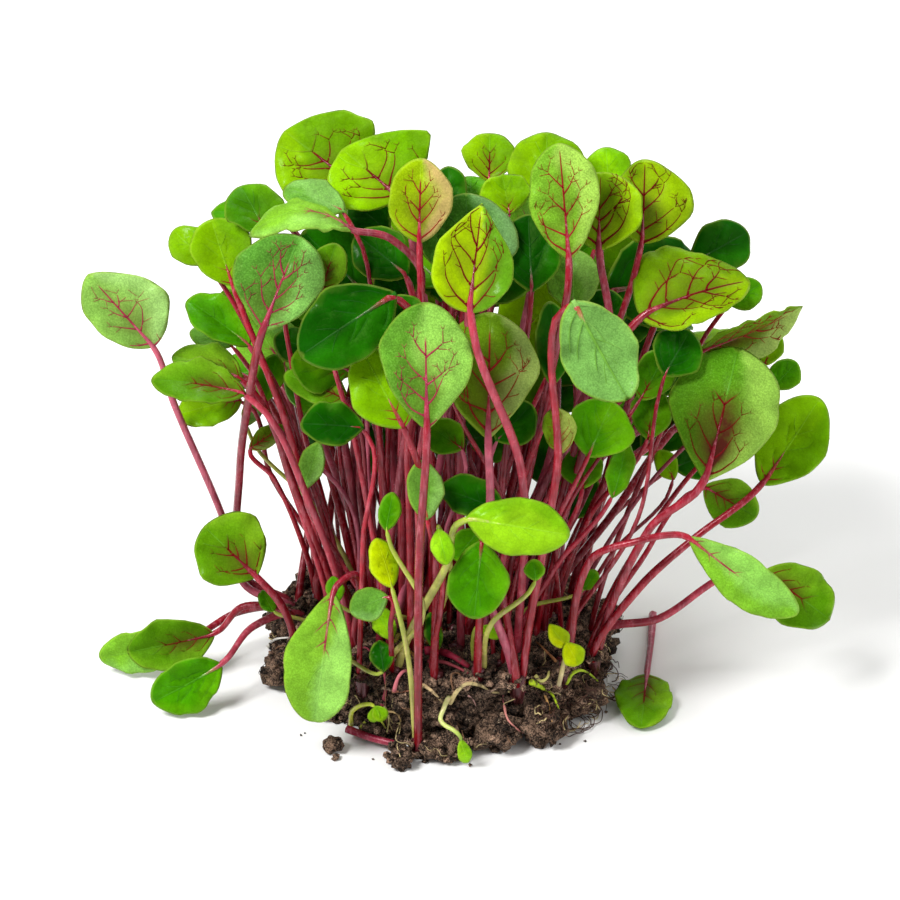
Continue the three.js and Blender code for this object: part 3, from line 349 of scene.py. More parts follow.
# The leaves that the reference view shows, in the order in which they grow
SEEN_LEAVES = (
    SeenLeaf("front_tall", Look.GREY, (427, 430), (425, 302), -31, 1, 16.7, arch=0.05, cup=-0.12,
             widest=0.56, crown="front_tall", via=((419, 560, -30.5), (418, 680, -29.6))),
    SeenLeaf("front_hood", Look.OLIVE, (488, 440), (490, 312), -22, 2, 16.1, arch=0.06, cup=-0.2,
             widest=0.58, crown="front_hood", via=((490, 500, -21), (484, 580, -21))),
    SeenLeaf("lower_left", Look.FRESH, (333, 590), (315, 722), -17, 1, 12.9, arch=0.12, cup=0.1,
             widest=0.55, crown="front_left", via=((357, 576, -13),)),
    SeenLeaf("bright_oval", Look.BRIGHT, (466, 518), (570, 535), -30, 1, 11, arch=0.08, cup=-0.15,
             crown="front_low", via=((447, 565, -24),)),
    SeenLeaf("hanging_oval", Look.PLAIN, (482, 540), (474, 619), -28, 3, 11.4, arch=0.08, widest=0.52,
             crown="front_oval", via=((494, 552, -24),)),
    SeenLeaf("east_big", Look.BLOTCHED, (705, 482), (738, 347), -17, 2, 19, arch=0.08, cup=-0.25,
             widest=0.58, crown="east_corner", via=((649, 530, -16),)),
    SeenLeaf("east_far", Look.CLEAR, (762, 485), (820, 398), -4, 2, 13.3, cup=0.05, crown="east_corner",
             via=((690, 540, -6), (640, 585, -9))),
    SeenLeaf("east_drooping", Look.FRESH, (688, 536), (798, 614), -17, 0, 9.5, roll=14, arch=0.1, fold=0.12,
             widest=0.55, crown="east_inner", via=((648, 535, -17), (600, 556, -15))),
    SeenLeaf("east_floor", Look.DUSKY, (762, 572), (830, 620), -6, 1, 12.8, roll=-10, arch=0.06, wave=0.9,
             crown="east_low", via=((723, 577, -6), (660, 618, -6))),
    SeenLeaf("west_far", Look.UNDERSIDE, (154, 347), (88, 274), 0, -1, 12, arch=0.06, cup=0.1, widest=0.52,
             crown="west_edge", via=((174, 404, 0), (221, 513, 3), (244, 584, 7))),
    SeenLeaf("west_big", Look.GREY, (262, 332), (300, 236), -7, 1, 16.7, arch=0.06, cup=-0.12, widest=0.56,
             crown="west_edge", via=((252, 380, -5), (240, 470, 2), (244, 575, 9))),
    SeenLeaf("west_round", Look.DUSKY, (257, 577), (204, 526), -8, 0, 14.6, cup=0.12, wave=0.5, widest=0.52,
             crown="west_round"),
    SeenLeaf("floor_back", Look.FRESH, (188, 640), (99, 657), 3, 3, 9.1, roll=-18, cup=0.06, widest=0.52,
             crown="west_floor", via=((240, 612, 3),)),
    SeenLeaf("floor_middle", Look.DUSKY, (215, 634), (127, 652), 0, 0, 10.9, roll=-12, fold=0.16, wave=0.5,
             crown="west_floor", via=((246, 606, 0),)),
    SeenLeaf("floor_front", Look.PLAIN, (222, 664), (152, 702), -5, 0, 11.4, roll=-20, cup=0.14,
             crown="west_floor", via=((254, 626, -3),)),
    SeenLeaf("pink_small", Look.OLIVE, (249, 449), (284, 426), 0, 1, 4.2, fold=0.3, crown="pink_stem",
             via=((258, 478, 1), (286, 540, 3))),
    SeenLeaf("leaning_stem", Look.MIDDLE, (268, 236), (240, 186), 6, 4, 11.4, roll=20, cup=0.1,
             crown="leaning_pair", via=((272, 342, 4), (288, 430, 6), (312, 520, 9))),
    SeenLeaf("lime_pointed", Look.SPLIT, (469, 313), (482, 203), -20, 2, 16.1, cup=0.12, widest=0.38,
             sharp=1.8),
    SeenLeaf("behind_tall", Look.CLEAR, (404, 428), (362, 350), -22, 2, 12.7, cup=-0.1),
    SeenLeaf("hanging_pale", Look.PALE, (573, 300), (628, 400), -20, 0, 13.9, roll=168, cup=-0.2, wave=0.8),
    SeenLeaf("dark_glossy", Look.DARK, (396, 293), (300, 356), -12, 1, 14.6, arch=0.08, fold=-0.12,
             widest=0.52),
    SeenLeaf("tall_red", Look.SPECKLED, (569, 261), (559, 143), -8, 1, 13.3, cup=-0.12, widest=0.55,
             via=((566, 300, -9),)),
    SeenLeaf("sideways_big", Look.NETTED, (640, 316), (750, 281), -5, 3, 16.6, roll=-26, arch=0.08,
             fold=-0.2, widest=0.42),
    SeenLeaf("grey_behind", Look.SHADED, (469, 288), (466, 193), -8, 3, 18.6, cup=-0.1, widest=0.52),
    SeenLeaf("east_olive", Look.DUSKY, (704, 486), (757, 517), -4, 2, 9.5, roll=10, cup=0.1),
    SeenLeaf("east_pale_fold", Look.OLIVE, (700, 350), (803, 306), -2, 2, 11.4, roll=48, fold=0.3,
             widest=0.42, sharp=1.4),
    SeenLeaf("fold_right", Look.NETTED, (599, 251), (601, 172), 2, 1, 16.1, roll=-12, fold=0.25,
             via=((607, 335, -2),)),
    SeenLeaf("lime_right", Look.NETTED, (642, 244), (645, 159), 5, 2, 12.3, cup=-0.06, widest=0.45),
    SeenLeaf("pink_narrow", Look.PINKED, (419, 243), (421, 158), -6, 0, 12, cup=0.12, widest=0.48),
    SeenLeaf("saddle", Look.FRESH, (352, 231), (249, 236), -8, -3, 11.4, roll=58, arch=0.24, cup=-0.2,
             via=((380, 245, -7), (410, 285, -6))),
    SeenLeaf("lime_back", Look.LIME, (401, 199), (342, 149), 13, 3, 18.1, cup=0.12, widest=0.52),
    SeenLeaf("lime_top", Look.LIME, (352, 182), (284, 131), 27, 3, 18.4, cup=0.06, widest=0.52),
    SeenLeaf("pale_back", Look.PALE, (345, 212), (284, 188), 5, 3, 9.5, roll=40),
    SeenLeaf("cupped_west", Look.CLEAR, (233, 286), (211, 219), 1, 2, 10.3, cup=0.3, widest=0.52),
    SeenLeaf("small_west", Look.CLEAR, (208, 263), (173, 230), 8, 2, 7.6, cup=0.1),
    SeenLeaf("oblique_west", Look.PLAIN, (288, 222), (211, 212), 15, 3, 11.4, roll=42, sharp=1.3),
    SeenLeaf("folded_west", Look.PLAIN, (250, 346), (187, 300), 1, 2, 9.5, roll=24, fold=0.35),
    SeenLeaf("thin_west", Look.PALE, (233, 346), (190, 331), 11, 2, 6.6, roll=40),
    SeenLeaf("midrib_west", Look.DUSKY, (243, 380), (172, 356), -4, 1, 10, roll=42, cup=0.15),
    SeenLeaf("broad_west", Look.DUSKY, (246, 394), (151, 380), -10, 0, 10.9, roll=40, cup=0.12),
    SeenLeaf("low_west", Look.CLEAR, (242, 400), (177, 415), 2, 0, 9, roll=24),
    SeenLeaf("top_middle", Look.LIME, (489, 183), (490, 133), 24, 4, 10.4, fold=0.15),
    SeenLeaf("under_top", Look.PLAIN, (470, 208), (471, 176), 13, 5, 8.5),
    SeenLeaf("top_right", Look.CLEAR, (545, 206), (547, 132), 18, 4, 15.2, cup=-0.1, widest=0.52),
    SeenLeaf("lime_high", Look.CLEAR, (609, 196), (606, 147), 24, 4, 9.5),
    SeenLeaf("dark_right", Look.DARK, (690, 264), (748, 232), 13, 4, 10.4, arch=0.1, widest=0.52),
    SeenLeaf("low_right_tip", Look.PLAIN, (728, 304), (761, 284), 9, 2, 6.6),
    SeenLeaf("small_right", Look.PLAIN, (772, 388), (797, 362), 8, 1, 6.3),
    SeenLeaf("dark_slim", Look.DARK, (552, 386), (550, 301), -10, 1, 8, roll=30),
    SeenLeaf("pale_behind", Look.PALE, (572, 311), (574, 249), 4, 2, 10.4),
    SeenLeaf("dark_middle", Look.DARK, (408, 276), (356, 234), 1, 3, 10.4, cup=0.1),
    SeenLeaf("dark_lower", Look.DARK, (420, 342), (382, 300), -14, 2, 9.9, cup=0.1),
    SeenLeaf("dark_upper", Look.DARK, (389, 232), (350, 200), 14, 3, 8.5),
    SeenLeaf("dark_west", Look.DUSKY, (322, 290), (336, 243), 0, 2, 7.2),
    SeenLeaf("dark_fold", Look.DARK, (364, 428), (300, 424), -13, 0, 8.9, roll=16, fold=0.3, wave=0.5),
    SeenLeaf("pale_small", Look.PALE, (427, 520), (421, 460), -25, 0, 7.2, roll=14, cup=0.1),
    SeenLeaf("dark_curl", Look.DARK, (505, 512), (438, 488), -23, 0, 8.5, roll=20, fold=0.3, wave=0.6),
    SeenLeaf("light_low_east", Look.PLAIN, (588, 457), (612, 401), -14, 1, 12.8, cup=0.1),
    SeenLeaf("slim_low_east", Look.PLAIN, (612, 498), (626, 440), -15, 1, 6.1, roll=30),
    SeenLeaf("dark_low_east", Look.MIDDLE, (583, 489), (581, 447), -9, 2, 8.5),
    SeenLeaf("inner_east", Look.MIDDLE, (648, 440), (654, 386), -8, 2, 8),
    SeenLeaf("pale_seedling", Look.PALE, (388, 596), (350, 612), -23, 1, 6.6, roll=10),
    SeenLeaf("yellow_seedling", Look.YELLOW, (392, 588), (376, 538), -25, 0, 6.1, roll=24, cup=-0.2),
    SeenLeaf("green_seedling", Look.PLAIN, (386, 531), (393, 492), -21, 0, 4.4),
    SeenLeaf("seed_leaf", Look.PLAIN, (536, 581), (533, 559), -21, 0, 4),
)

# Small leaves between the others, on the slender plants that only the look has. The dark ones fill gaps deep
# in the clump, where their dark green is painted shade.
SMALL_LEAVES = (
    SeenLeaf("crumpled_top", Look.CLEAR, (510, 215), (502, 174), 8, 2, 9.5, fold=0.3, wave=0.6),
    SeenLeaf("dark_behind_red", Look.DARK, (532, 292), (528, 214), 2, 3, 12),
    SeenLeaf("dark_top", Look.DARK, (451, 212), (448, 166), 10, 2, 7),
    SeenLeaf("lime_edge", Look.CLEAR, (764, 366), (777, 330), 0, 2, 5),
    SeenLeaf("west_bit", Look.CLEAR, (240, 313), (222, 291), 6, 1, 4.2),
    SeenLeaf("west_inner", Look.PLAIN, (264, 402), (276, 354), 4, 1, 5.5),
    SeenLeaf("west_rosy", Look.DUSKY, (346, 400), (284, 374), 3, 2, 7, roll=20),
    SeenLeaf("west_pale", Look.PALE, (246, 426), (258, 396), 4, 1, 4),
    SeenLeaf("narrow_pale", Look.PALE, (303, 490), (319, 442), -4, 1, 5),
    SeenLeaf("lime_bit", Look.BRIGHT, (438, 529), (447, 565), -30, 1, 4.4),
    SeenLeaf("middle_leaf", Look.PLAIN, (480, 530), (454, 560), -25, 1, 6.4),
    SeenLeaf("under_hood", Look.MIDDLE, (463, 449), (428, 424), -16, 1, 7.2),
    SeenLeaf("under_hood_east", Look.DARK, (496, 441), (532, 404), -15, 1, 9),
    SeenLeaf("brown_curl", Look.OLIVE, (562, 454), (556, 407), -15, 1, 6.4, fold=0.4, wave=0.8),
    SeenLeaf("east_bit", Look.CLEAR, (674, 480), (659, 450), -2, 1, 4.6),
    SeenLeaf("soil_green", Look.DARK, (384, 672), (379, 640), -18, 1, 4.6, wave=0.6),
    SeenLeaf("soil_lime", Look.BRIGHT, (392, 640), (376, 606), -20, 1, 4.6, wave=0.6),
    SeenLeaf("soil_middle", Look.DARK, (437, 652), (430, 612), -17, 1, 3.6, wave=0.5),
    SeenLeaf("soil_corner", Look.PLAIN, (274, 612), (262, 590), -2, 1, 3.8, wave=0.5),
    SeenLeaf("low_bit", Look.PLAIN, (337, 604), (333, 576), -9, 1, 3.6),
    SeenLeaf("east_soil", Look.PLAIN, (584, 590), (596, 570), -12, 1, 3.6),
    SeenLeaf("dark_centre", Look.DARK, (410, 300), (384, 262), 4, 2, 9.5),
    SeenLeaf("dark_deep", Look.DARK, (596, 330), (612, 290), -2, 2, 9),
    SeenLeaf("dark_east", Look.DARK, (664, 376), (690, 330), -4, 2, 10),
    SeenLeaf("east_rosy", Look.MIDDLE, (640, 400), (668, 350), -6, 2, 8),
    SeenLeaf("dark_under", Look.DARK, (452, 400), (440, 350), -12, 2, 8),
    SeenLeaf("dark_gap", Look.DARK, (546, 486), (538, 430), 6, 2, 9),
    SeenLeaf("dark_gap_west", Look.DARK, (372, 474), (376, 424), 8, 2, 8),
    SeenLeaf("dark_gap_low", Look.DARK, (566, 520), (590, 470), 4, 2, 8),
)

# Where each row of drawn numbers starts
HIDDEN_SEED = 20260
INNER_SEED = 77
SLENDER_SEED = 31
CRUMB_SEED = 713
CLOD_SEED = 5
ROOT_SEED = 19

# Plants whose place shows: x, y and the height of the soil there
KNOWN_CROWNS = {
    "west_edge": (-29.5, 8, 11), "west_floor": (-28.5, 0.5, 13), "west_round": (-28, -7, 13),
    "leaning_pair": (-22.5, 11, 15), "pink_stem": (-24, 5, 15), "front_tall": (-3.9, -27.4, 3.4),
    "front_left": (-16.5, -10, 15), "front_oval": (7.5, -19.5, 14.5), "front_hood": (15, -20.5, 13.5),
    "front_low": (-9, -19, 14.5), "east_corner": (30, -12, 13.5), "east_low": (30.5, -4, 12),
    "east_back": (27, 5, 15), "east_inner": (24, -16, 14),
}


def bend_of(widest: float) -> float:
    """The power that puts the middle of a sine's arch where a blade is widest."""
    return math.log(0.5) / math.log(widest)


def profile(s: Array, bend: Array | float, widest: Array | float, sharp: Array | float,
            powers: Pixel = SOLID_POWERS) -> Array:
    """The half width of a blade along its midrib, as a share of its greatest.

    Args:
        s: How far along the midrib.
        bend: The power that goes with widest.
        widest: Where the blade is widest.
        sharp: How pointed its tip is.
        powers: How blunt it is towards its base and its tip.

    Returns:
        The share at each place.
    """
    arch = np.maximum(np.sin(math.pi * np.power(s, bend)), 0)
    return np.power(arch, np.where(s > widest, powers[1] * sharp, powers[0]))


def relief(s: Array, t: Array, half: Array, length: Array | float, arch: Array | float,
           cup: Array | float, fold: Array | float, wave: Array | float) -> Array:
    """How far a blade's surface stands over its own plane.

    Args:
        s: How far along the midrib.
        t: How far across.
        half: The half width there.
        length: The blade's length.
        arch: Its bow along.
        cup: Its bow across.
        fold: Its crease.
        wave: The ripple of its edges.

    Returns:
        The height at each place.
    """
    ripple = wave * np.sin(16 * s + np.where(t > 0, 0.4, 2.1)) * t * t
    along = length * arch * 4 * s * (1 - s)
    return along + half * (cup * t * t + fold * np.abs(t)) + ripple


@dataclass
class Blade:
    """The blade of one leaf in its place."""

    form: LeafForm | SeenLeaf
    base: Array
    axis: Array
    normal: Array
    side: Array
    length: float
    stem_pieces: int = STEM_PIECES

    def half(self, s: Array) -> Array:
        """The half width along the midrib."""
        form = self.form
        return 0.5 * form.width * profile(s, bend_of(form.widest), form.widest, form.sharp)

    def rise(self, s: Array, t: Array) -> Array:
        """How far the surface stands over the blade's own plane."""
        form = self.form
        return relief(s, t, self.half(s), self.length, form.arch, form.cup, form.fold, form.wave)

    def surface(self, s: Array | float, t: Array | float) -> Array:
        """Points of the blade.

        Args:
            s: How far along the midrib, from 0 at the base to 1 at the tip.
            t: How far across, from -1 at one edge to 1 at the other.

        Returns:
            One point for each pair.
        """
        s = np.asarray(s, dtype=float)
        t = np.asarray(t, dtype=float)
        along = self.base + self.axis * (self.length * s)[..., None]
        return (along + self.side * (self.half(s) * t)[..., None]) + self.normal * self.rise(s, t)[..., None]


def shaped_blade(form: LeafForm | SeenLeaf, base: Array, tip: Array, facing: Array,
                 pieces: int = STEM_PIECES) -> Blade:
    """A blade between two points, which faces a direction as far as its axis lets it.

    Args:
        form: The blade's shape.
        base: Where it meets its stem.
        tip: Its far end.
        facing: The direction that its upper face looks in before it is rolled.
        pieces: How many straight pieces its stem is tested in.

    Returns:
        The blade.
    """
    along = tip - base
    axis = unit(along)
    level = unit(facing - axis * dot(facing, axis))
    turn = form.roll * (math.pi / 180)
    normal = level * math.cos(turn) + cross(axis, level) * math.sin(turn)
    return Blade(form, base, axis, normal, cross(normal, axis), float(size(along)), pieces)


SAMPLE_S = np.repeat([0.02, 0.14, 0.3, 0.46, 0.62, 0.78, 0.9, 0.985], 5)
SAMPLE_T = np.tile([-1, -0.5, 0, 0.5, 1], 8)


class Cloud:
    """Points that stand for a shape, with the ball round them."""

    def __init__(self, samples: Array) -> None:
        """Finds the ball round the samples."""
        self.samples = samples
        low = samples.min(axis=0)
        high = samples.max(axis=0)
        self.centre = (low + high) * 0.5
        self.radius = float(0.5 * size(high - low))


class BladeSet:
    """Blades side by side, so that points are tested against all of them at once."""

    def __init__(self, blades: Sequence[Blade]) -> None:
        """Gathers the blades' frames and traits."""
        frames = [[b.base, b.axis, b.side, b.normal] for b in blades]
        self.frames = np.array(frames).reshape(-1, 4, 3)
        rows = []
        for b in blades:
            f = b.form
            rows.append([b.length, f.width, f.arch, f.cup, f.fold, f.wave, f.widest, f.sharp,
                         bend_of(f.widest)])
        self.traits = np.array(rows, dtype=float).reshape(-1, 9)

    def met(self, points: Array, picked: Array | slice = slice(None), gap: float = BLADE_GAP) -> Array:
        """Whether each point lies on a blade or closer to it than the gap.

        Args:
            points: The points, one row each.
            picked: The blades to test.
            gap: The gap.

        Returns:
            A row for each blade and a column for each point.
        """
        base, axis, side, normal = self.frames[picked].transpose(1, 0, 2)[:, :, None, :]
        length, width, arch, cup, fold, wave, widest, sharp, bend = self.traits[picked].T[:, :, None]
        away = points - base
        x = dot(away, axis)
        y = dot(away, side)
        s = np.minimum(np.maximum(x / length, 0.02), 0.98)
        half = 0.5 * width * profile(s, bend, widest, sharp)
        t = np.minimum(np.maximum(y / half, -1), 1)
        found = np.abs(dot(away, normal) - relief(s, t, half, length, arch, cup, fold, wave)) < gap
        found &= (x >= -BLADE_EDGE_MARGIN) & (x <= length + BLADE_EDGE_MARGIN)
        return found & (np.abs(y) <= half + BLADE_EDGE_MARGIN)


@dataclass
class Crown:
    """The short stump that a plant's stems rise from."""

    name: str
    x: float
    y: float
    top: float
    flank: bool
    node: str = ""
    taken: list[int] = field(default_factory=list)
    leaves: int = 0

    def free_slot(self, away: Array) -> tuple[int, Array]:
        """The free place on the crown that lies nearest to the way a stem is heading."""
        best = -1
        place = vec(0, 0, 0)
        closest = -2.0
        for k in range(MOST_LEAVES):
            if k in self.taken:
                continue
            angle = 2 * math.pi * k / MOST_LEAVES + 0.3
            slot = vec(CROWN_SPREAD * math.cos(angle), CROWN_SPREAD * math.sin(angle), 0)
            match = (slot[0] * away[0] + slot[1] * away[1]) / (size(away) + 1e-9)
            if best < 0 or match > closest + 1e-9:
                best = k
                place = slot
                closest = match
        return best, place


def smooth_path(points: Sequence[Array], leaving: Array, arriving: Array, pieces: int) -> Array:
    """Points along a smooth curve through the given ones.

    Args:
        points: What the curve passes through, each one point or a row for each of many curves.
        leaving: The direction at the start.
        arriving: The direction at the end.
        pieces: How many pieces the curve is told in.

    Returns:
        The curve's points, first to last.
    """
    spans = len(points) - 1
    inner = [unit(points[i + 1] - points[i - 1]) for i in range(1, spans)]
    headings = [leaving, *inner, arriving]
    path = []
    for k in range(pieces + 1):
        place = spans * k / pieces
        span = min(math.floor(place), spans - 1)
        u = place - span
        start = points[span]
        end = points[span + 1]
        reach = size(end - start)[..., None]
        a = start * ((2 * u - 3) * u * u + 1)
        b = headings[span] * reach * (((u - 2) * u + 1) * u)
        c = end * ((3 - 2 * u) * u * u)
        d = headings[span + 1] * reach * ((u - 1) * u * u)
        path.append((a + b) + (c + d))
    return np.array(path)


BOWS = np.array([vec(0, 0, 0)] + [
    vec(reach * math.cos(math.pi * k / 4), reach * math.sin(math.pi * k / 4), 0)
    for reach in (3, 6, 9) for k in range(8)
])
STEM_BEND = vec(0.42, 0.42, 0.56)
NECK_STIFFNESS = 1.3
FOOT_LIFT = 0.9
DEPTH_SHIFTS = (0, 2, -2, 4, -4, 6, -6, 9, -9, 12, 15)
STEM_EASES = (0, -1.2, -2.4, -3.6, -4.8, 1.2, 2.4, 3.6)
STEM_EASE_GAP = 0.85


@dataclass
class Stem:
    """The stem of a leaf: the points that its curve passes through, and its two directions."""

    points: list[Array]
    leaving: Array
    arriving: Array
    pieces: int
    slot: int
    cloud: Cloud

    def path(self, finer: int) -> Array:
        """The stem's curve, in so many times the pieces that its solid has."""
        return smooth_path(self.points, self.leaving, self.arriving, self.pieces * finer)


class StemChoices:
    """The stems that could carry a blade from one crown, one for each way of bowing."""

    def __init__(self, blade: Blade, crown: Crown, via: Sequence[Array]) -> None:
        """Works out all the curves and the points that stand for them."""
        foot = vec(crown.x, crown.y, crown.top - STEM_SUNK)
        neck = blade.base
        away = neck - foot
        self.slot, place = crown.free_slot(away)
        start = foot + place
        if via:
            middle = [p + BOWS for p in reversed(via)]
        else:
            middle = [(foot + away * STEM_BEND) + BOWS]
        self.points = [start, *middle, neck]
        self.arriving = unit(unit(neck - middle[-1]) * NECK_STIFFNESS + blade.axis)
        first = unit(middle[0] - start)
        self.leaving = unit(first + vec(0, 0, 0 if crown.flank else FOOT_LIFT))
        self.pieces = 2 * len(via) + 2 if via else blade.stem_pieces
        curve = smooth_path(self.points, self.leaving, self.arriving, self.pieces)
        self._sample(curve.transpose(1, 0, 2))

    def _sample(self, paths: Array) -> None:
        """Places samples along every path, no farther apart than the sample step."""
        parts = np.ceil(size(paths[:, 1:] - paths[:, :-1]) / SAMPLE_STEP).astype(int)
        parts = np.concatenate([np.ones((len(paths), 1), dtype=int), parts], axis=1)
        before = np.concatenate([paths[:, :1], paths[:, :-1]], axis=1).reshape(-1, 3)
        after = paths.reshape(-1, 3)
        counts = parts.ravel()
        piece = np.repeat(np.arange(len(counts)), counts)
        first = np.cumsum(counts) - counts
        share = ((np.arange(len(piece)) - first[piece] + 1) / counts[piece])[:, None]
        self.samples = before[piece] * (1 - share) + after[piece] * share
        self.ends = np.cumsum(parts.sum(axis=1))
        self.starts = self.ends - parts.sum(axis=1)

    def all_good(self, good: Array) -> Array:
        """The bows whose samples are all good."""
        bad = np.concatenate([[0], np.cumsum(~good)])
        return np.flatnonzero(bad[self.ends] == bad[self.starts])

    def pick(self, k: int) -> Stem:
        """The stem with one of the bows."""
        points = [p if p.ndim == 1 else p[k] for p in self.points]
        cloud = Cloud(self.samples[self.starts[k]:self.ends[k]])
        return Stem(points, self.leaving[k], self.arriving[k], self.pieces, self.slot, cloud)


@dataclass
class Leaf:
    """A grown leaf."""

    crown: Crown
    blade: Blade
    cloud: Cloud
    stem: Stem


def soil_top(x: float, y: float) -> float:
    """The height of the soil at a place."""
    out = min(1, math.hypot(x / SOIL_HALF_WIDTH, y / SOIL_HALF_DEPTH))
    lumps = math.sin(0.42 * x + 1.3) * math.cos(0.5 * y) + 0.6 * math.sin(0.95 * x - 0.7 * y)
    return SOIL_HEIGHT - 2.2 * out * out * out + SOIL_RELIEF * 0.6 * lumps


def planted_crowns() -> list[Crown]:
    """The known plants, then the rest of the bed on a loose grid between them."""
    crowns = [Crown(name, x, y, top + CROWN_LIFT, top < 12) for name, (x, y, top) in KNOWN_CROWNS.items()]
    for row in range(BED_ROWS):
        for column in range(BED_COLUMNS):
            stagger = 0 if row % 2 == 0 else 0.5 * BED_SPACING
            x = -27 + BED_SPACING * column + stagger + 0.8 * math.sin(5.1 * row + 2.3 * column)
            y = -18.5 + 0.96 * BED_SPACING * row + 0.8 * math.cos(3.7 * row + 4.1 * column)
            out = math.hypot(x / (SOIL_HALF_WIDTH - 3), y / (SOIL_HALF_DEPTH - 3))
            if out > 1.1 or abs(x) > SOIL_HALF_WIDTH - 3:
                continue
            if any(math.hypot(c.x - x, c.y - y) < CROWN_GAP for c in crowns):
                continue
            crowns.append(Crown("", x, y, soil_top(x, y) + CROWN_LIFT, False))
    for index, crown in enumerate(crowns):
        crown.node = f"plant_{index + 1:02d}"
    return crowns


class Dice:
    """Numbers drawn by rule, the same each time."""

    FACTOR = 1664525
    ADDED = 1013904223
    RANGE = 4294967296

    def __init__(self, drawn: int) -> None:
        """Starts the row of numbers."""
        self.drawn = drawn

    def draw(self, low: float, high: float) -> float:
        """The next number between two limits."""
        self.drawn = (self.drawn * self.FACTOR + self.ADDED) % self.RANGE
        return low + (high - low) * self.drawn / self.RANGE


@dataclass(frozen=True)
class Zone:
    """A stretch of the canopy that the reference view doesn't show leaf by leaf.

    angle and reach place a leaf round the clump's middle, and drop is how far under the dome.
    """

    count: int
    angle: Pixel
    reach: Pixel
    drop: Pixel
    length: Pixel
    facing: Mark


@dataclass
class Canopy:
    """The dome of the hidden leaves, and the outlines that the whole clump keeps to."""

    middle: Pixel = (3, 8)
    half_width: float = 58
    half_depth: float = 44
    top: float = 98
    fall: float = 36
    lowest: float = 24
    back_starts: float = 14
    zones: Sequence[Zone] = (
        Zone(26, (-180, 180), (0, 0.62), (6, 34), (17, 24), (0, -0.7, 0.8)),
        Zone(22, (-5, 185), (0.6, 1), (0, 22), (16, 23), (0, 0.3, 1)),
        Zone(10, (20, 160), (0.75, 1), (18, 42), (13, 19), (0, 0.5, 1)),
    )
    leaves: Sequence[Pixel] = (
        (176, 400), (165, 240), (212, 196), (268, 176), (300, 122), (345, 114), (388, 132), (440, 160),
        (490, 128), (560, 128), (620, 150), (672, 162), (700, 222), (756, 236), (766, 290), (800, 320),
        (796, 395), (764, 470), (690, 470), (660, 460), (612, 520), (560, 470), (450, 480), (330, 450),
        (250, 420),
    )
    stems: Sequence[Pixel] = (
        (262, 430), (306, 520), (292, 600), (300, 640), (600, 650), (640, 590), (700, 500), (764, 470),
    )

    def __post_init__(self) -> None:
        """Joins the canopy's upper edge to the stems' outline."""
        self.leaf_outline = Outline(self.leaves)
        self.stem_outline = Outline([*self.stems, *reversed(self.leaves[:13]), self.leaves[0]])

    def hidden_blade(self, zone: Zone, dice: Dice) -> Blade:
        """Draws a blade in a zone."""
        angle = dice.draw(*zone.angle) * (math.pi / 180)
        reach = dice.draw(*zone.reach)
        x = self.middle[0] + self.half_width * reach * math.cos(angle)
        y = self.middle[1] + self.half_depth * reach * math.sin(angle)
        base = vec(x, y, self.top - self.fall * reach * reach - dice.draw(*zone.drop))
        heading = angle + dice.draw(-0.6, 0.6)
        climb = dice.draw(0.2, 1.1) - 0.7 * reach
        flat = math.cos(climb)
        axis = vec(math.cos(heading) * flat, math.sin(heading) * flat, math.sin(climb))
        length = dice.draw(*zone.length)
        width = length * dice.draw(0.72, 0.88)
        form = LeafForm("hidden", Look.MIDDLE, width, roll=dice.draw(-25, 25), cup=dice.draw(-0.2, 0.2),
                        arch=dice.draw(0.02, 0.1), widest=dice.draw(0.46, 0.56))
        facing = unit(vec(0.3 * math.cos(angle) + zone.facing[0], zone.facing[1], zone.facing[2]))
        return shaped_blade(form, base, base + axis * length, facing, FILLER_STEM_PIECES)

    def holds_blade(self, points: Array) -> bool:
        """Whether a hidden blade stays in the canopy."""
        px, py, _ = pixel_of(points)
        behind = (points[:, 1] > self.back_starts) & self.stem_outline.holds(px, py)
        return bool((self.leaf_outline.holds(px, py) | behind).all() and (points[:, 2] >= self.lowest).all())

    def holds_stem(self, points: Array) -> Array:
        """Whether each point of a hidden stem stays in the clump."""
        px, py, _ = pixel_of(points)
        return self.stem_outline.holds(px, py) | self.leaf_outline.holds(px, py)


class ShownLeaves:
    """The places that the known leaves take up in the reference view."""

    SHARE_KEPT = 0.45
    ROOM_BEHIND = 6

    def __init__(self, leaves: Sequence[Leaf]) -> None:
        """Measures each leaf in the view."""
        rows = []
        for leaf in leaves:
            b = leaf.blade
            ends = [b.base, b.base + b.axis * b.length, b.surface(0.5, 1), b.surface(0.5, -1)]
            px, py, reach = pixel_of(np.array(ends))
            length = math.hypot(px[1] - px[0], py[1] - py[0])
            half = self.SHARE_KEPT * math.hypot(px[2] - px[3], py[2] - py[3])
            rows.append((px[0], py[0], (px[1] - px[0]) / length, (py[1] - py[0]) / length, length, half,
                         max(reach[0], reach[1])))
        self.rows = np.array(rows).T[:, None, :]

    def hidden_by(self, points: Array) -> bool:
        """Whether a leaf at these points would stand in front of a known one."""
        px, py, reach = (value[:, None] for value in pixel_of(points))
        bx, by, ax, ay, length, half, far = self.rows
        x = (px - bx) * ax + (py - by) * ay
        y = (py - by) * ax - (px - bx) * ay
        s = x / length
        over = (s > -0.05) & (s < 1.05) & (np.abs(y) < half)
        return bool((over & (reach < far + self.ROOM_BEHIND)).any())


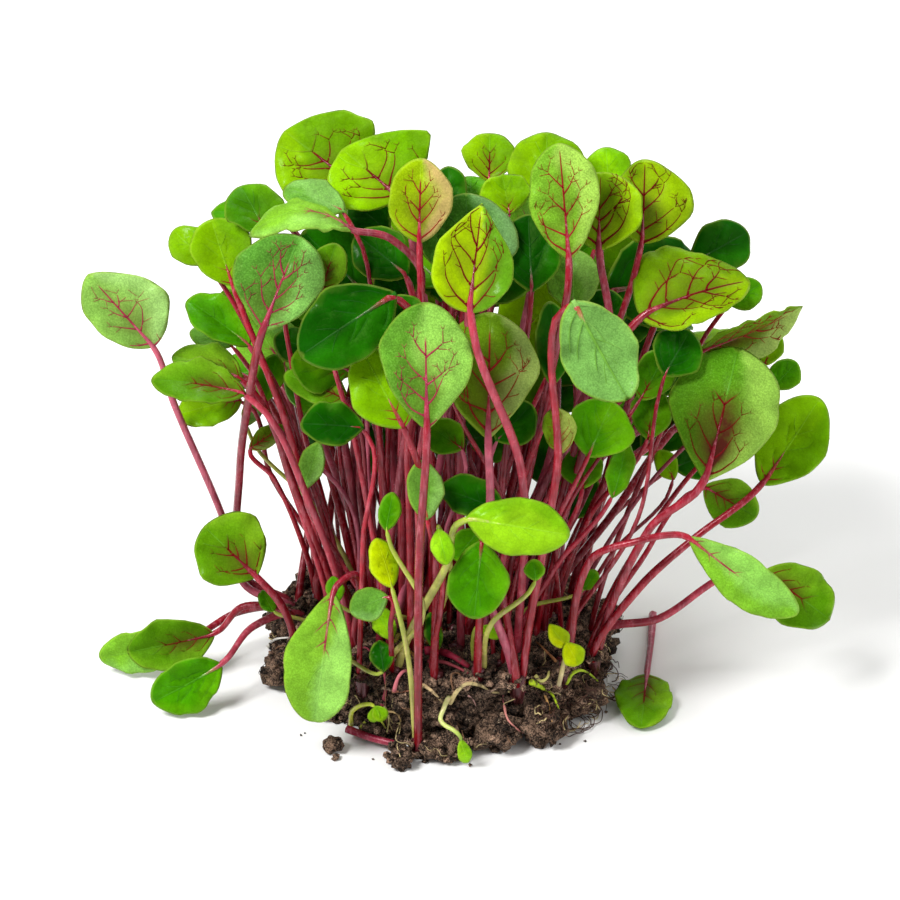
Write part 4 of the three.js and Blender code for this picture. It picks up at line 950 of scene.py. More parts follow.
class Bed:
    """The plants as they grow, each leaf clear of those before it."""

    def __init__(self, crowns: list[Crown]) -> None:
        """Starts with bare crowns."""
        self.crowns = crowns
        self.places = np.array([(c.x, c.y, c.top) for c in crowns])
        self.open_crowns = crowns
        self.leaves: list[Leaf] = []
        self.unplaced: list[str] = []
        self.stem_gap = STEM_TO_STEM
        self.blade_gap = BLADE_GAP

    def _add(self, crown: Crown, blade: Blade, cloud: Cloud, stem: Stem) -> None:
        """Keeps a leaf and gathers what later ones are tested against."""
        crown.leaves += 1
        crown.taken.append(stem.slot)
        self.leaves.append(Leaf(crown, blade, cloud, stem))
        leaves = self.leaves
        self.owner = np.array([self.crowns.index(leaf.crown) for leaf in leaves])
        self.blade_balls = np.array([[*leaf.cloud.centre, leaf.cloud.radius] for leaf in leaves])
        self.stem_balls = np.array([[*leaf.stem.cloud.centre, leaf.stem.cloud.radius] for leaf in leaves])
        self.blades = BladeSet([leaf.blade for leaf in leaves])
        self.stem_samples = np.concatenate([leaf.stem.cloud.samples for leaf in leaves])
        self.stem_owner = np.repeat(self.owner, [len(leaf.stem.cloud.samples) for leaf in leaves])

    @staticmethod
    def _touching(cloud: Cloud, balls: Array) -> Array:
        """Which balls come near a cloud's own."""
        return ~(size(cloud.centre - balls[:, :3]) > cloud.radius + balls[:, 3] + STEM_TO_STEM)

    def _met(self, blades: BladeSet, points: Array, picked: Array | slice = slice(None)) -> Array:
        """Which points come too near some blades."""
        return blades.met(points, picked, self.blade_gap)

    def _in_the_way(self, blade: Blade, cloud: Cloud) -> set[int]:
        """The plants that a blade would cross where it stands, or at least two of them."""
        found: set[int] = set()
        if not self.leaves:
            return found
        own = BladeSet([blade])
        near = np.flatnonzero(self._touching(cloud, self.blade_balls))
        if len(near):
            hit = self._met(self.blades, cloud.samples, near).any(axis=1)
            found.update(self.owner[near[hit]])
            for i in near[~hit]:
                if self.owner[i] not in found and self._met(own, self.leaves[i].cloud.samples).any():
                    found.add(self.owner[i])
        for i in np.flatnonzero(self._touching(cloud, self.stem_balls)):
            if len(found) > 1:
                break
            if self.owner[i] not in found and self._met(own, self.leaves[i].stem.cloud.samples).any():
                found.add(self.owner[i])
        return found

    def _stem_is_clear(self, cloud: Cloud, index: int) -> bool:
        """Whether a stem is clear of the other plants' stems and blades."""
        if not self.leaves:
            return True
        points = cloud.samples
        low = points.min(axis=0) - STEM_TO_STEM
        high = points.max(axis=0) + STEM_TO_STEM
        inside = ((self.stem_samples > low) & (self.stem_samples < high)).all(axis=1)
        rest = self.stem_samples[(self.stem_owner != index) & inside]
        x, y, z = (points[:, None, k] - rest[None, :, k] for k in range(3))
        if (x * x + y * y + z * z < self.stem_gap * self.stem_gap).any():
            return False
        near = np.flatnonzero((self.owner != index) & self._touching(cloud, self.blade_balls))
        return len(near) == 0 or not self._met(self.blades, points, near).any()

    def _crowns_are_clear(self, points: Array, index: int) -> Array:
        """Whether each point keeps off the other crowns."""
        x = points[:, None, 0] - self.places[:, 0]
        y = points[:, None, 1] - self.places[:, 1]
        hit = (points[:, None, 2] < self.places[:, 2] + 1) & (x * x + y * y < CROWN_CLEARANCE_SQUARED)
        hit[:, index] = False
        return ~hit.any(axis=1)

    def _clear_stem(self, blade: Blade, cloud: Cloud, choices: Sequence[Crown], via: Sequence[Array],
                    allowed: Callable[[Array], Array] | None = None) -> bool:
        """Grows the leaf on the first stem, straight or bowed, that is clear of the other plants.

        Args:
            blade: The leaf's blade.
            cloud: The points that stand for it.
            choices: The crowns that it may grow from, best first.
            via: The points that bend its stem.
            allowed: Says for each point of a stem whether it may be there.

        Returns:
            Whether the leaf has grown.
        """
        blocked = self._in_the_way(blade, cloud)
        if len(blocked) > 1:
            return False
        for crown in choices:
            index = self.crowns.index(crown)
            if (blocked and index not in blocked) or len(crown.taken) >= MOST_LEAVES:
                continue
            stems = StemChoices(blade, crown, via)
            good = self._crowns_are_clear(stems.samples, index)
            if allowed:
                good &= allowed(stems.samples)
            for k in stems.all_good(good):
                stem = stems.pick(k)
                if self._stem_is_clear(stem.cloud, index):
                    self._add(crown, blade, cloud, stem)
                    return True
        return False

    def _nearest(self, place: Array, count: int) -> list[Crown]:
        """The crowns that a leaf would most likely grow from, emptier ones first."""
        aim = (0.5 * place[0], 0.55 * place[1] - 6)
        free = [c for c in self.open_crowns if c.leaves < MOST_LEAVES]
        free.sort(key=lambda c: math.hypot(c.x - aim[0], c.y - aim[1]) + LEAF_CROWDING * c.leaves)
        return free[:count]

    def _grow_form(self, form: SeenLeaf) -> bool:
        """Slides one known leaf along its line of sight until it can grow."""
        known = [c for c in self.crowns if form.crown and c.name == form.crown]
        via = [seen(*point) for point in form.via]
        for shift in DEPTH_SHIFTS:
            base = seen(*form.base, form.depth + shift)
            reach = dot(base - EYE, AHEAD) + form.lean
            tip = EYE + sight_line(*form.tip) * reach
            blade = shaped_blade(form, base, tip, TOWARD_EYE)
            cloud = Cloud(blade.surface(SAMPLE_S, SAMPLE_T))
            if (cloud.samples[:, 2] < LOWEST_BLADE).any():
                continue
            choices = known or self._nearest(base, CROWNS_TRIED)
            moved = [p + AHEAD * shift for p in via] if not known else via
            if self._clear_stem(blade, cloud, choices, moved):
                return True
        return False

    def grow_seen(self, forms: Sequence[SeenLeaf]) -> None:
        """Grows the leaves that the reference view shows."""
        self.unplaced = [form.name for form in forms if not self._grow_form(form)]

    def eased(self, leaf: Leaf, path: Array) -> Array:
        """Bows a stem a little, where it would run through another blade of its own plant.

        Args:
            leaf: The stem's own leaf.
            path: The stem's curve.

        Returns:
            The curve, moved along the line of sight so that it still shows where it did.
        """
        share = np.linspace(0, 1, len(path))
        bend = (np.maximum(np.sin(math.pi * share), 0) ** 0.8)[:, None] * AHEAD
        others = np.flatnonzero([other is not leaf for other in self.leaves])
        best, least = path, len(path) * len(others)
        for amount in STEM_EASES:
            moved = path + bend * amount
            hits = int(self.blades.met(moved, others, STEM_EASE_GAP).sum())
            if hits < least:
                best, least = moved, hits
            if not hits:
                break
        return best

    def plant(self, crowns: list[Crown], stem_gap: float, blade_gap: float) -> None:
        """Sets slender plants in the bed, which may stand closer and carry all later leaves."""
        self.open_crowns = crowns
        self.stem_gap = stem_gap
        self.blade_gap = blade_gap
        self.crowns.extend(crowns)
        self.places = np.array([(c.x, c.y, c.top) for c in self.crowns])

    def grow_hidden(self, canopy: Canopy, dice: Dice, shown: ShownLeaves, zones: Sequence[Zone]) -> None:
        """Fills the rest of the canopy, its back and its sides with leaves drawn by rule."""
        for zone in zones:
            placed = 0
            for _ in range(HIDDEN_TRIES):
                if placed >= zone.count:
                    break
                blade = canopy.hidden_blade(zone, dice)
                cloud = Cloud(blade.surface(SAMPLE_S, SAMPLE_T))
                if not canopy.holds_blade(cloud.samples) or shown.hidden_by(cloud.samples):
                    continue
                choices = self._nearest(blade.base, HIDDEN_CROWNS_TRIED)
                placed += self._clear_stem(blade, cloud, choices, [], canopy.holds_stem)


def put(name: str, data: bpy.types.ID) -> bpy.types.Object:
    """Puts an object with some data into the scene."""
    placed = bpy.data.objects.new(name, data)
    bpy.context.scene.collection.objects.link(placed)
    return placed


class Piece:
    """A mesh in the making, with the point colours that the finishes read.

    tint is the colour of the skin. mark holds how near the red veins are, the blush, the rim and
    how speckled the skin is.
    """

    def __init__(self, name: str) -> None:
        """Starts with nothing."""
        self.name = name
        self.count = 0
        self.points: list[Array] = []
        self.triangles: list[Array] = []
        self.colours: dict[str, list[Array]] = {"tint": [], "mark": []}
        self.finishes: list[Array] = []

    def add(self, points: Array, triangles: Array, tint: Array | Colour, mark: Array | float = 0.0,
            finish: int = 0) -> None:
        """Adds a body to the mesh.

        Args:
            points: Its points in millimetres.
            triangles: Three point numbers for each triangle.
            tint: One colour for the body or one for each point.
            mark: Four numbers for each point, or one number for all.
            finish: Which of the piece's materials it has.
        """
        n = len(points)
        skin = np.ones((n, 4))
        skin[:, :3] = tint
        marks = np.zeros((n, 4))
        marks[:] = mark
        self.points.append(points)
        self.triangles.append(np.asarray(triangles, dtype=np.int64) + self.count)
        self.colours["tint"].append(skin)
        self.colours["mark"].append(marks)
        self.finishes.append(np.full(len(triangles), finish, dtype=np.int32))
        self.count += n

    def add_tube(self, path: Array, radii: Array, sides: int, tint: Colour, ridges: float = 0.0) -> None:
        """Adds a closed tube of one colour along a path."""
        points, triangles, _ = tube(path, radii, sides, ridges)
        self.add(points, triangles, tint)

    def build(self, materials: Materials, slot: str, nodes: Sequence[str]) -> None:
        """Makes the object, hangs it on the root body and hides the nodes of the frame that it replaces.

        Args:
            materials: The finishes, in the order of their numbers.
            slot: The material slot of the record; it is not used.
            nodes: The nodes of the frame that the piece replaces.
        """
        points = np.concatenate(self.points) * MM
        triangles = np.concatenate(self.triangles)
        mesh = bpy.data.meshes.new(self.name)
        mesh.vertices.add(len(points))
        mesh.vertices.foreach_set("co", points.astype(np.float32).ravel())
        mesh.loops.add(3 * len(triangles))
        mesh.loops.foreach_set("vertex_index", triangles.astype(np.int32).ravel())
        mesh.polygons.add(len(triangles))
        mesh.polygons.foreach_set("loop_start", np.arange(0, 3 * len(triangles), 3, dtype=np.int32))
        mesh.polygons.foreach_set("material_index", np.concatenate(self.finishes))
        mesh.polygons.foreach_set("use_smooth", np.ones(len(triangles), dtype=bool))
        for name, parts in self.colours.items():
            layer = mesh.color_attributes.new(name=name, type="FLOAT_COLOR", domain="POINT")
            layer.data.foreach_set("color", np.concatenate(parts).astype(np.float32).ravel())
        for material in materials:
            mesh.materials.append(material)
        mesh.update()
        mesh.validate()
        piece = put(self.name, mesh)
        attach(piece, "root")
        if nodes:
            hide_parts(*nodes)
        LOG.info("%s: %d triangles", self.name, len(triangles))


def band(first: int, second: int, sides: int) -> Array:
    """The triangles between two rings of points."""
    k = np.arange(sides)
    after = (k + 1) % sides
    lower = np.stack([first + k, first + after, second + after], axis=1)
    upper = np.stack([first + k, second + after, second + k], axis=1)
    return np.concatenate([lower, upper])


def fan(middle: int, first: int, sides: int, outward: bool) -> Array:
    """The triangles that close a ring of points."""
    k = np.arange(sides)
    after = (k + 1) % sides
    ends = (k, after) if outward else (after, k)
    return np.stack([np.full(sides, middle), first + ends[0], first + ends[1]], axis=1)


def closed_rings(count: int, sides: int) -> Array:
    """The triangles of a closed tube: its rings of points come first, then its two ends' middles."""
    triangles = [band(sides * k, sides * (k + 1), sides) for k in range(count - 1)]
    triangles.append(fan(sides * count, 0, sides, False))
    triangles.append(fan(sides * count + 1, sides * (count - 1), sides, True))
    return np.concatenate(triangles)


def tube(path: Array, radii: Array, sides: int, ridges: float = 0.0) -> tuple[Array, Array, Array]:
    """A closed tube along a path.

    Args:
        path: The points of its middle line.
        radii: Its radius at each of them.
        sides: How many sides it has.
        ridges: How deep the ridges along it are, as a share of the radius.

    Returns:
        Its points, its triangles and how far along it each point is.
    """
    count = len(path)
    headings = unit(np.gradient(path, axis=0) + 1e-9)
    across = vec(0.3, 0.2, 1) if abs(headings[0][2]) < 0.8 else vec(1, 0.2, 0.1)
    around = 2 * math.pi * np.arange(sides) / sides
    swell = 1 + ridges * np.cos(0.5 * sides * around)
    rings = []
    for k in range(count):
        across = across - headings[k] * dot(across, headings[k])
        across = across / size(across)
        over = cross(headings[k], across)
        ring = np.cos(around)[:, None] * across + np.sin(around)[:, None] * over
        rings.append(path[k] + ring * (radii[k] * swell)[:, None])
    points = np.concatenate([*rings, [path[0], path[-1]]])
    along = np.concatenate([np.repeat(np.linspace(0, 1, count), sides), [0, 1]])
    return points, closed_rings(count, sides), along


RIDGE_ACROSS = np.array([1.0, 0.7, -0.7, -1.0, -0.7, 0.7])
RIDGE_UP = np.array([0.0, 1.0, 1.0, 0.0, -1.0, -1.0])


def strap(path: Array, across: Array, halves: Array, heights: Array) -> tuple[Array, Array]:
    """A closed tube of six sides along a path, flat above and below.

    Args:
        path: The points of its middle line.
        across: The direction of its width at each of them.
        halves: Half its width at each of them.
        heights: Half its height at each of them.

    Returns:
        Its points and its triangles.
    """
    over = unit(np.cross(np.gradient(path, axis=0), across))
    wide = (across * halves[:, None])[:, None] * RIDGE_ACROSS[:, None]
    high = (over * heights[:, None])[:, None] * RIDGE_UP[:, None]
    rings = (path[:, None] + wide + high).reshape(-1, 3)
    return np.concatenate([rings, path[:1], path[-1:]]), closed_rings(len(path), len(RIDGE_UP))


def ball(middle: Array, radius: float, lumps: float, flat: float, shake: random.Random,
         fine: int = 1) -> tuple[Array, Array]:
    """A lumpy crumb.

    Args:
        middle: Its middle.
        radius: Its mean radius.
        lumps: How uneven it is, as a share of the radius.
        flat: Its height as a share of its width.
        shake: Where its shape is drawn from.
        fine: How often the twenty faces are divided.

    Returns:
        Its points and triangles.
    """
    points, triangles = BALLS[fine]
    seed = Vector((shake.uniform(-90, 90), shake.uniform(-90, 90), shake.uniform(-90, 90)))
    swell = np.array([noise.noise(Vector(p) * 1.6 + seed) for p in points])
    shape = points * (radius * (1 + lumps * 1.6 * swell))[:, None]
    shape = shape * vec(1 + shake.uniform(-0.2, 0.2), 1 + shake.uniform(-0.2, 0.2), flat)
    return shape + middle, triangles


def divided_ball(times: int) -> tuple[Array, Array]:
    """A ball of radius 1 from twenty faces, each divided so many times."""
    golden = (1 + math.sqrt(5)) / 2
    corners = []
    for a in (-1, 1):
        for b in (-golden, golden):
            corners += [(a, b, 0), (0, a, b), (b, 0, a)]
    points = [Vector(corner).normalized() for corner in corners]
    triangles = []
    for i in range(12):
        for j in range(i + 1, 12):
            for k in range(j + 1, 12):
                sides = ((points[i] - points[j]).length, (points[j] - points[k]).length,
                         (points[k] - points[i]).length)
                if max(sides) < 1.1:
                    turned = (points[j] - points[i]).cross(points[k] - points[i]).dot(points[i]) < 0
                    triangles.append((i, k, j) if turned else (i, j, k))
    for _ in range(times):
        halves: dict[tuple[int, int], int] = {}
        finer = []
        for triangle in triangles:
            mids = []
            for a, b in zip(triangle, triangle[1:] + triangle[:1]):
                key = (min(a, b), max(a, b))
                if key not in halves:
                    halves[key] = len(points)
                    points.append((points[a] + points[b]).normalized())
                mids.append(halves[key])
            (i, j, k), (ij, jk, ki) = triangle, mids
            finer += [(i, ij, ki), (j, jk, ij), (k, ki, jk), (ij, jk, ki)]
        triangles = finer
    return np.array([tuple(p) for p in points]), np.array(triangles)


BALLS = {times: divided_ball(times) for times in (0, 1, 2)}


@dataclass
class Vein:
    """One vein in the blade's own plane: its points, half widths and redness along it."""

    points: Array
    halves: Array
    reds: Array
    angles: Array
    main: bool


class VeinTree:
    """The veins of one blade, laid out in millimetres from its base."""

    STEP = 0.5
    # Where each pair of side veins starts, its angle and its length as a share of the half width
    PAIRS = ((0.03, 1.1, 1.3), (0.18, 0.92, 1.15), (0.36, 0.82, 0.95), (0.54, 0.76, 0.75))

    def __init__(self, blade: Blade, finish: LeafFinish, shake: random.Random, fine: bool) -> None:
        """Grows the midrib, the side veins and their forks."""
        self.blade = blade
        self.finish = finish
        self.shake = shake
        self.scale = min(1.15, max(0.42, blade.form.width / 16))
        self.veins: list[Vein] = []
        self._grow_midrib()
        for side in (-1, 1):
            self._grow_side(side, fine)

    def edge(self, x: Array | float) -> Array:
        """The blade's half width at a distance from its base."""
        form = self.blade.form
        s = np.clip(np.asarray(x, dtype=float) / self.blade.length, 0, 1)
        return 0.5 * form.width * profile(s, bend_of(form.widest), form.widest, form.sharp, LOOK_POWERS)

    def _redness(self, share: Array) -> Array:
        """How red the midrib is at a share of its length."""
        reach = self.finish.reach
        return self.finish.red * (1 - smooth(share, reach - 0.2, reach + 0.06))

    def _grow_midrib(self) -> None:
        """Lays the midrib from the base almost to the tip."""
        length = self.blade.length
        x = np.linspace(0, 0.95 * length, max(6, round(length / self.STEP)))
        share = x / length
        halves = self.scale * (0.44 * (1 - share) ** 0.7 + 0.06)
        self.veins.append(Vein(np.stack([x, 0 * x], axis=1), halves, self._redness(share),
                               np.zeros(len(x)), True))

    def _run(self, start: Pixel, angle: float, length: float, bend: float, side: int, halves: Pixel,
             reds: Pixel, main: bool) -> Vein | None:
        """Lays one vein step by step, turning it along the margin when it comes near.

        Args:
            start: Where it leaves the vein before it, as if on the right half of the blade.
            angle: Its direction there, from the midrib's towards its own side.
            length: How long it may grow.
            bend: How much it turns in a millimetre.
            side: -1 or 1 for the half of the blade that it is in.
            halves: Its half width at its start and end.
            reds: How red it is at its start and end.
            main: Whether the blade swells on both sides of it.

        Returns:
            The vein, or nothing where it had no room.
        """
        x, y = start
        marks = [(x, y, angle)]
        blade_length = self.blade.length
        bound = 0.46 + 0.14 * min(1.0, self.finish.spread)
        for _ in range(int(length / self.STEP)):
            half = float(self.edge(x))
            if half < 0.3 or x > 0.95 * blade_length or x < 0.15:
                break
            share = y / half
            margin = math.atan2(float(self.edge(x + 0.4)) - half, 0.4)
            if share > bound and angle > margin:
                angle += (margin - angle) * 0.5 * min(1.0, (share - bound) / 0.2)
            if share > bound + 0.26 or (y < 0.15 and len(marks) > 3):
                break
            angle += bend * self.STEP + self.shake.uniform(-0.1, 0.1)
            x += self.STEP * math.cos(angle)
            y += self.STEP * math.sin(angle)
            marks.append((x, y, angle))
        if len(marks) < 3:
            return None
        table = np.array(marks)
        share = np.linspace(0, 1, len(table))
        points = np.stack([table[:, 0], side * table[:, 1]], axis=1)
        width = halves[0] + (halves[1] - halves[0]) * share ** 0.5
        red = reds[0] + (reds[1] - reds[0]) * smooth(share, 0.2, 1.0)
        vein = Vein(points, width, red, table[:, 2], main)
        self.veins.append(vein)
        return vein

    def _grow_side(self, side: int, fine: bool) -> None:
        """Lays the side veins of one half of the blade."""
        shake = self.shake
        full = 0.5 * self.blade.form.width
        k = self.scale
        for index, (place, angle, share) in enumerate(self.PAIRS[:4 if fine else 3]):
            place += shake.uniform(-0.02, 0.05) + (0.03 if side > 0 else 0)
            red = float(self._redness(np.array(place)))
            far = red * min(1.0, max(0.0, self.finish.spread + 0.1 - 0.25 * place))
            strength = 1 - 0.6 * place
            bold = min(1.0, red / 0.4)
            half = (0.12 + (0.24 + 0.14 * self.finish.spread) * bold) * k * strength
            reach = full * share * shake.uniform(0.8, 1.1)
            reach *= 0.45 + 0.55 * min(1.0, self.finish.spread + 0.8 * (1 - bold))
            vein = self._run((place * self.blade.length, 0.03), angle + shake.uniform(-0.15, 0.12), reach,
                             -0.06 / k, side, (half, 0.1 * k), (red, far), index < 3)
            if vein is not None and fine and far > 0.25:
                self._fork(vein, side, full, far)
                for _ in range(round(1.6 * self.finish.net)):
                    self._twig(vein, side, full, far)

    def _spot(self, vein: Vein, share: float) -> tuple[Pixel, float]:
        """A place on a vein, as if on the right half of the blade, and the vein's direction there."""
        at = min(len(vein.points) - 1, max(1, round(share * (len(vein.points) - 1))))
        return (float(vein.points[at, 0]), float(abs(vein.points[at, 1]))), float(vein.angles[at])

    def _fork(self, vein: Vein, side: int, full: float, far: float) -> None:
        """Splits the end of a side vein in two, and each of those into twigs."""
        shake = self.shake
        k = self.scale
        start, heading = self._spot(vein, 1.0)
        full *= 0.4 + 0.6 * min(1.0, self.finish.spread)
        for turn, reach in ((shake.uniform(0.35, 0.6), 0.24), (-shake.uniform(0.5, 0.8), 0.4)):
            branch = self._run(start, heading + turn, full * reach * shake.uniform(0.8, 1.25), -0.05, side,
                               (0.1 * k, 0.07 * k), (far, 0.8 * far), False)
            if branch is not None:
                end, way = self._spot(branch, 1.0)
                for small in (-0.7, 0.55):
                    self._run(end, way + small, full * 0.18, 0, side, (0.07 * k, 0.04 * k),
                              (0.75 * far, 0.5 * far), False)

    def _twig(self, vein: Vein, side: int, full: float, far: float) -> None:
        """Lays a thin branch from the middle of a side vein, with a fork at its end."""
        shake = self.shake
        k = self.scale
        start, heading = self._spot(vein, shake.uniform(0.3, 0.85))
        turn = shake.choice((-1, 1)) * shake.uniform(0.6, 1.0)
        branch = self._run(start, heading + turn, full * shake.uniform(0.2, 0.36), 0.03, side,
                           (0.11 * k, 0.07 * k), (far, 0.8 * far), False)
        if branch is not None:
            end, way = self._spot(branch, 1.0)
            for small in (-0.6, 0.6):
                self._run(end, way + small, full * 0.12, 0, side, (0.06 * k, 0.035 * k),
                          (0.7 * far, 0.5 * far), False)

    def stations(self, step: float) -> Array:
        """Points on the main veins and beside them, from which the blade is meshed."""
        found = []
        for vein in self.veins:
            if not vein.main:
                continue
            away = np.concatenate([[0], np.cumsum(np.hypot(*np.diff(vein.points, axis=0).T))])
            at = np.linspace(0, away[-1], max(2, round(away[-1] / step) + 1))
            x = np.interp(at, away, vein.points[:, 0])
            y = np.interp(at, away, vein.points[:, 1])
            half = 2 * np.interp(at, away, vein.halves)
            dx, dy = np.gradient(x), np.gradient(y)
            length = np.hypot(dx, dy) + 1e-9
            for way in (0, 1, -1):
                found.append(np.stack([x - way * half * dy / length, y + way * half * dx / length], axis=1))
        return np.concatenate(found)

    def read(self, spots: Array) -> tuple[Array, Array, Array]:
        """What the veins do at some spots of the blade.

        Args:
            spots: Their places in the blade's plane.

        Returns:
            How near the red veins are, how far off the main veins are, and how near the middle of
            a main vein is.
        """
        starts = np.concatenate([v.points[:-1] for v in self.veins])
        ends = np.concatenate([v.points[1:] for v in self.veins])
        halves = np.concatenate([np.stack([v.halves[:-1], v.halves[1:]], axis=1) for v in self.veins])
        reds = np.concatenate([v.reds[:-1] for v in self.veins])
        main = np.concatenate([np.full(len(v.points) - 1, v.main) for v in self.veins])
        run = ends - starts
        square = (run ** 2).sum(axis=1) + 1e-12
        away = spots[:, None, :] - starts
        u = np.clip((away * run).sum(axis=2) / square, 0, 1)
        gap = np.hypot(*np.moveaxis(away - u[..., None] * run, 2, 0))
        half = halves[:, 0] + (halves[:, 1] - halves[:, 0]) * u
        tent = np.clip(1 - gap / (2 * half), 0, 1)
        halo = (np.exp(-(gap / 0.95) ** 2) * reds * np.clip(half / 0.2, 0, 1)).max(axis=1)
        return halo, gap[:, main].min(axis=1), tent[:, main].max(axis=1)


# The least room round a point of a blade's mesh, as a share of the spacing
CLEAR_SHARE = 0.62


@dataclass
class BladeSkin:
    """Meshes a blade as a thin closed skin, with its veins as fine ribs in both faces.

    spacing is between the points of the plain parts, and along_veins between those on the veins.
    """

    spacing: float = 1.15
    along_veins: float = 0.7
    thickness: float = 0.36
    margin: float = 0.15
    quilt: float = 0.24
    groove: float = 0.16
    ridge: float = 0.2
    proud: float = 0.06

    def _outline(self, length: float, tree: VeinTree) -> Array:
        """The points round a blade's edge, closer together at its ends."""
        steps = max(14, round(length / (CLEAR_SHARE * self.spacing)))
        x = 0.5 * length * (1 - np.cos(math.pi * np.arange(steps + 1) / steps))
        y = tree.edge(x)
        x[0], y[0] = 0.0, 0.0
        x[-1], y[-1] = length, 0.0
        upper = np.stack([x, y], axis=1)
        lower = np.stack([x[1:-1], -y[1:-1]], axis=1)[::-1]
        return np.concatenate([upper, lower])

    def _grid(self, length: float, widest: float) -> Array:
        """Staggered rows of points over a blade and a little beyond it."""
        grid = []
        for index, row in enumerate(np.arange(0.5 * self.spacing, length, 0.87 * self.spacing)):
            shift = 0.5 * self.spacing * (index % 2)
            across = np.arange(-widest - self.spacing, widest + self.spacing, self.spacing) + shift
            grid.append(np.stack([np.full(len(across), row), across], axis=1))
        return np.concatenate(grid)

    def spots(self, blade: Blade, tree: VeinTree) -> tuple[list[Vector], int]:
        """The points of the blade's plane, the outline's first.

        Args:
            blade: The blade.
            tree: Its veins.

        Returns:
            The points and how many of them are the outline's.
        """
        length = blade.length
        outline = self._outline(length, tree)
        inner = outline.copy()
        reach = np.maximum(tree.edge(inner[:, 0]), 0.01)
        inner[:, 1] *= np.maximum(1 - 0.42 / reach, 0)
        inner[:, 0] = 0.5 * length + (inner[:, 0] - 0.5 * length) * (1 - 0.8 / length)
        inner = inner[np.abs(inner[:, 1]) > 0.25]
        grid = self._grid(length, 0.5 * blade.form.width)
        veins = tree.stations(self.along_veins)
        taken: set[Pixel] = set()
        kept = []
        for group, clear in ((veins, 0.17), (inner, 0.2), (grid, CLEAR_SHARE * self.spacing)):
            room = np.abs(group[:, 1]) < tree.edge(group[:, 0]) - (0.12 if group is inner else 0.3)
            room &= (group[:, 0] > 0.25) & (group[:, 0] < length - 0.25)
            group = group[room]
            if clear > 0.3 and len(kept):
                gap = np.hypot(*np.moveaxis(group[:, None] - np.array(kept), 2, 0)).min(axis=1)
                group = group[gap > clear]
            for px, py in group:
                key = (round(px / 0.16), round(py / 0.16))
                if key not in taken:
                    taken.add(key)
                    kept.append((px, py))
        return [Vector(p) for p in outline] + [Vector(p) for p in kept], len(outline)

    @staticmethod
    def lay(blade: Blade, flat: Array) -> Array:
        """Carries places of the blade's plane onto its bowed surface."""
        s = np.clip(flat[:, 0] / blade.length, 0, 1)
        half = np.maximum(blade.half(s), 1e-3)
        rise = blade.rise(s, np.clip(flat[:, 1] / half, -1.15, 1.15))[:, None]
        left, left_slide, right, right_slide = UNEVEN.get(blade.form.name, (1.0, 0.0, 1.0, 0.0))
        on_right = (flat[:, 1] > 0) == (blade.side[0] > 0)
        y = flat[:, 1] * np.where(on_right, right, left)
        y *= 1 + 0.05 * np.sin(8 * s + 5 * blade.base[0] + 2.4 * on_right)
        y *= 1 + 0.02 * np.sin(19 * s + 3 * blade.base[2])
        x = flat[:, 0] - np.abs(flat[:, 1]) * np.where(on_right, right_slide, left_slide)
        return blade.base + blade.axis * x[:, None] + blade.side * y[:, None] + blade.normal * rise

    @staticmethod
    def _shares(blade: Blade, tree: VeinTree, flat: Array) -> tuple[Array, Array, Array]:
        """How far along and across the blade some places are, and the half width there."""
        edge = np.maximum(tree.edge(flat[:, 0]), 1e-3)
        return np.clip(flat[:, 0] / blade.length, 0, 1), np.clip(flat[:, 1] / edge, -1, 1), edge

    def _faces(self, blade: Blade, tree: VeinTree, flat: Array, away: Array, ribbed: Array,
               phase: float) -> tuple[Array, Array]:
        """How far the two faces stand off the blade's surface.

        Args:
            blade: The blade.
            tree: Its veins.
            flat: Some places in its plane.
            away: How far off the main veins they are.
            ribbed: How near the middle of a main vein they are.
            phase: A number drawn for the blade.

        Returns:
            The heights of the upper and of the lower face.
        """
        x, y = flat[:, 0], flat[:, 1]
        s, t, edge = self._shares(blade, tree, flat)
        inside = np.clip((edge - np.abs(y)) / 0.9, 0, 1)
        inside = inside * np.clip(x / 1.2, 0, 1) * np.clip((blade.length - x) / 1.2, 0, 1)
        open_skin = 1 - np.exp(-(away / 1.25) ** 2)
        wide = min(1.0, blade.form.width / 12)
        flutter = np.sin(2 * math.pi * x / 5.1 + phase + np.where(t > 0, 1.7, 0))
        flutter += 0.6 * np.sin(2 * math.pi * x / 2.9 + 2 * phase + np.where(t > 0, 0.4, 0))
        lift = 0.4 * flutter * np.abs(t) ** 3 * (1 - np.exp(-s * 8)) * (1 - s ** 6)
        lift += 0.075 * np.sqrt(y * y + 0.3)
        lift += self.quilt * open_skin * inside
        lift += 0.2 * np.sin(0.9 * x + phase) * np.sin(1.1 * y + 2 * phase) * open_skin
        lift *= wide
        thick = 0.5 * (self.margin + (self.thickness - self.margin) * inside)
        sunk = tree.scale * ribbed * inside
        return lift + thick - self.groove * sunk, lift - thick - self.ridge * sunk

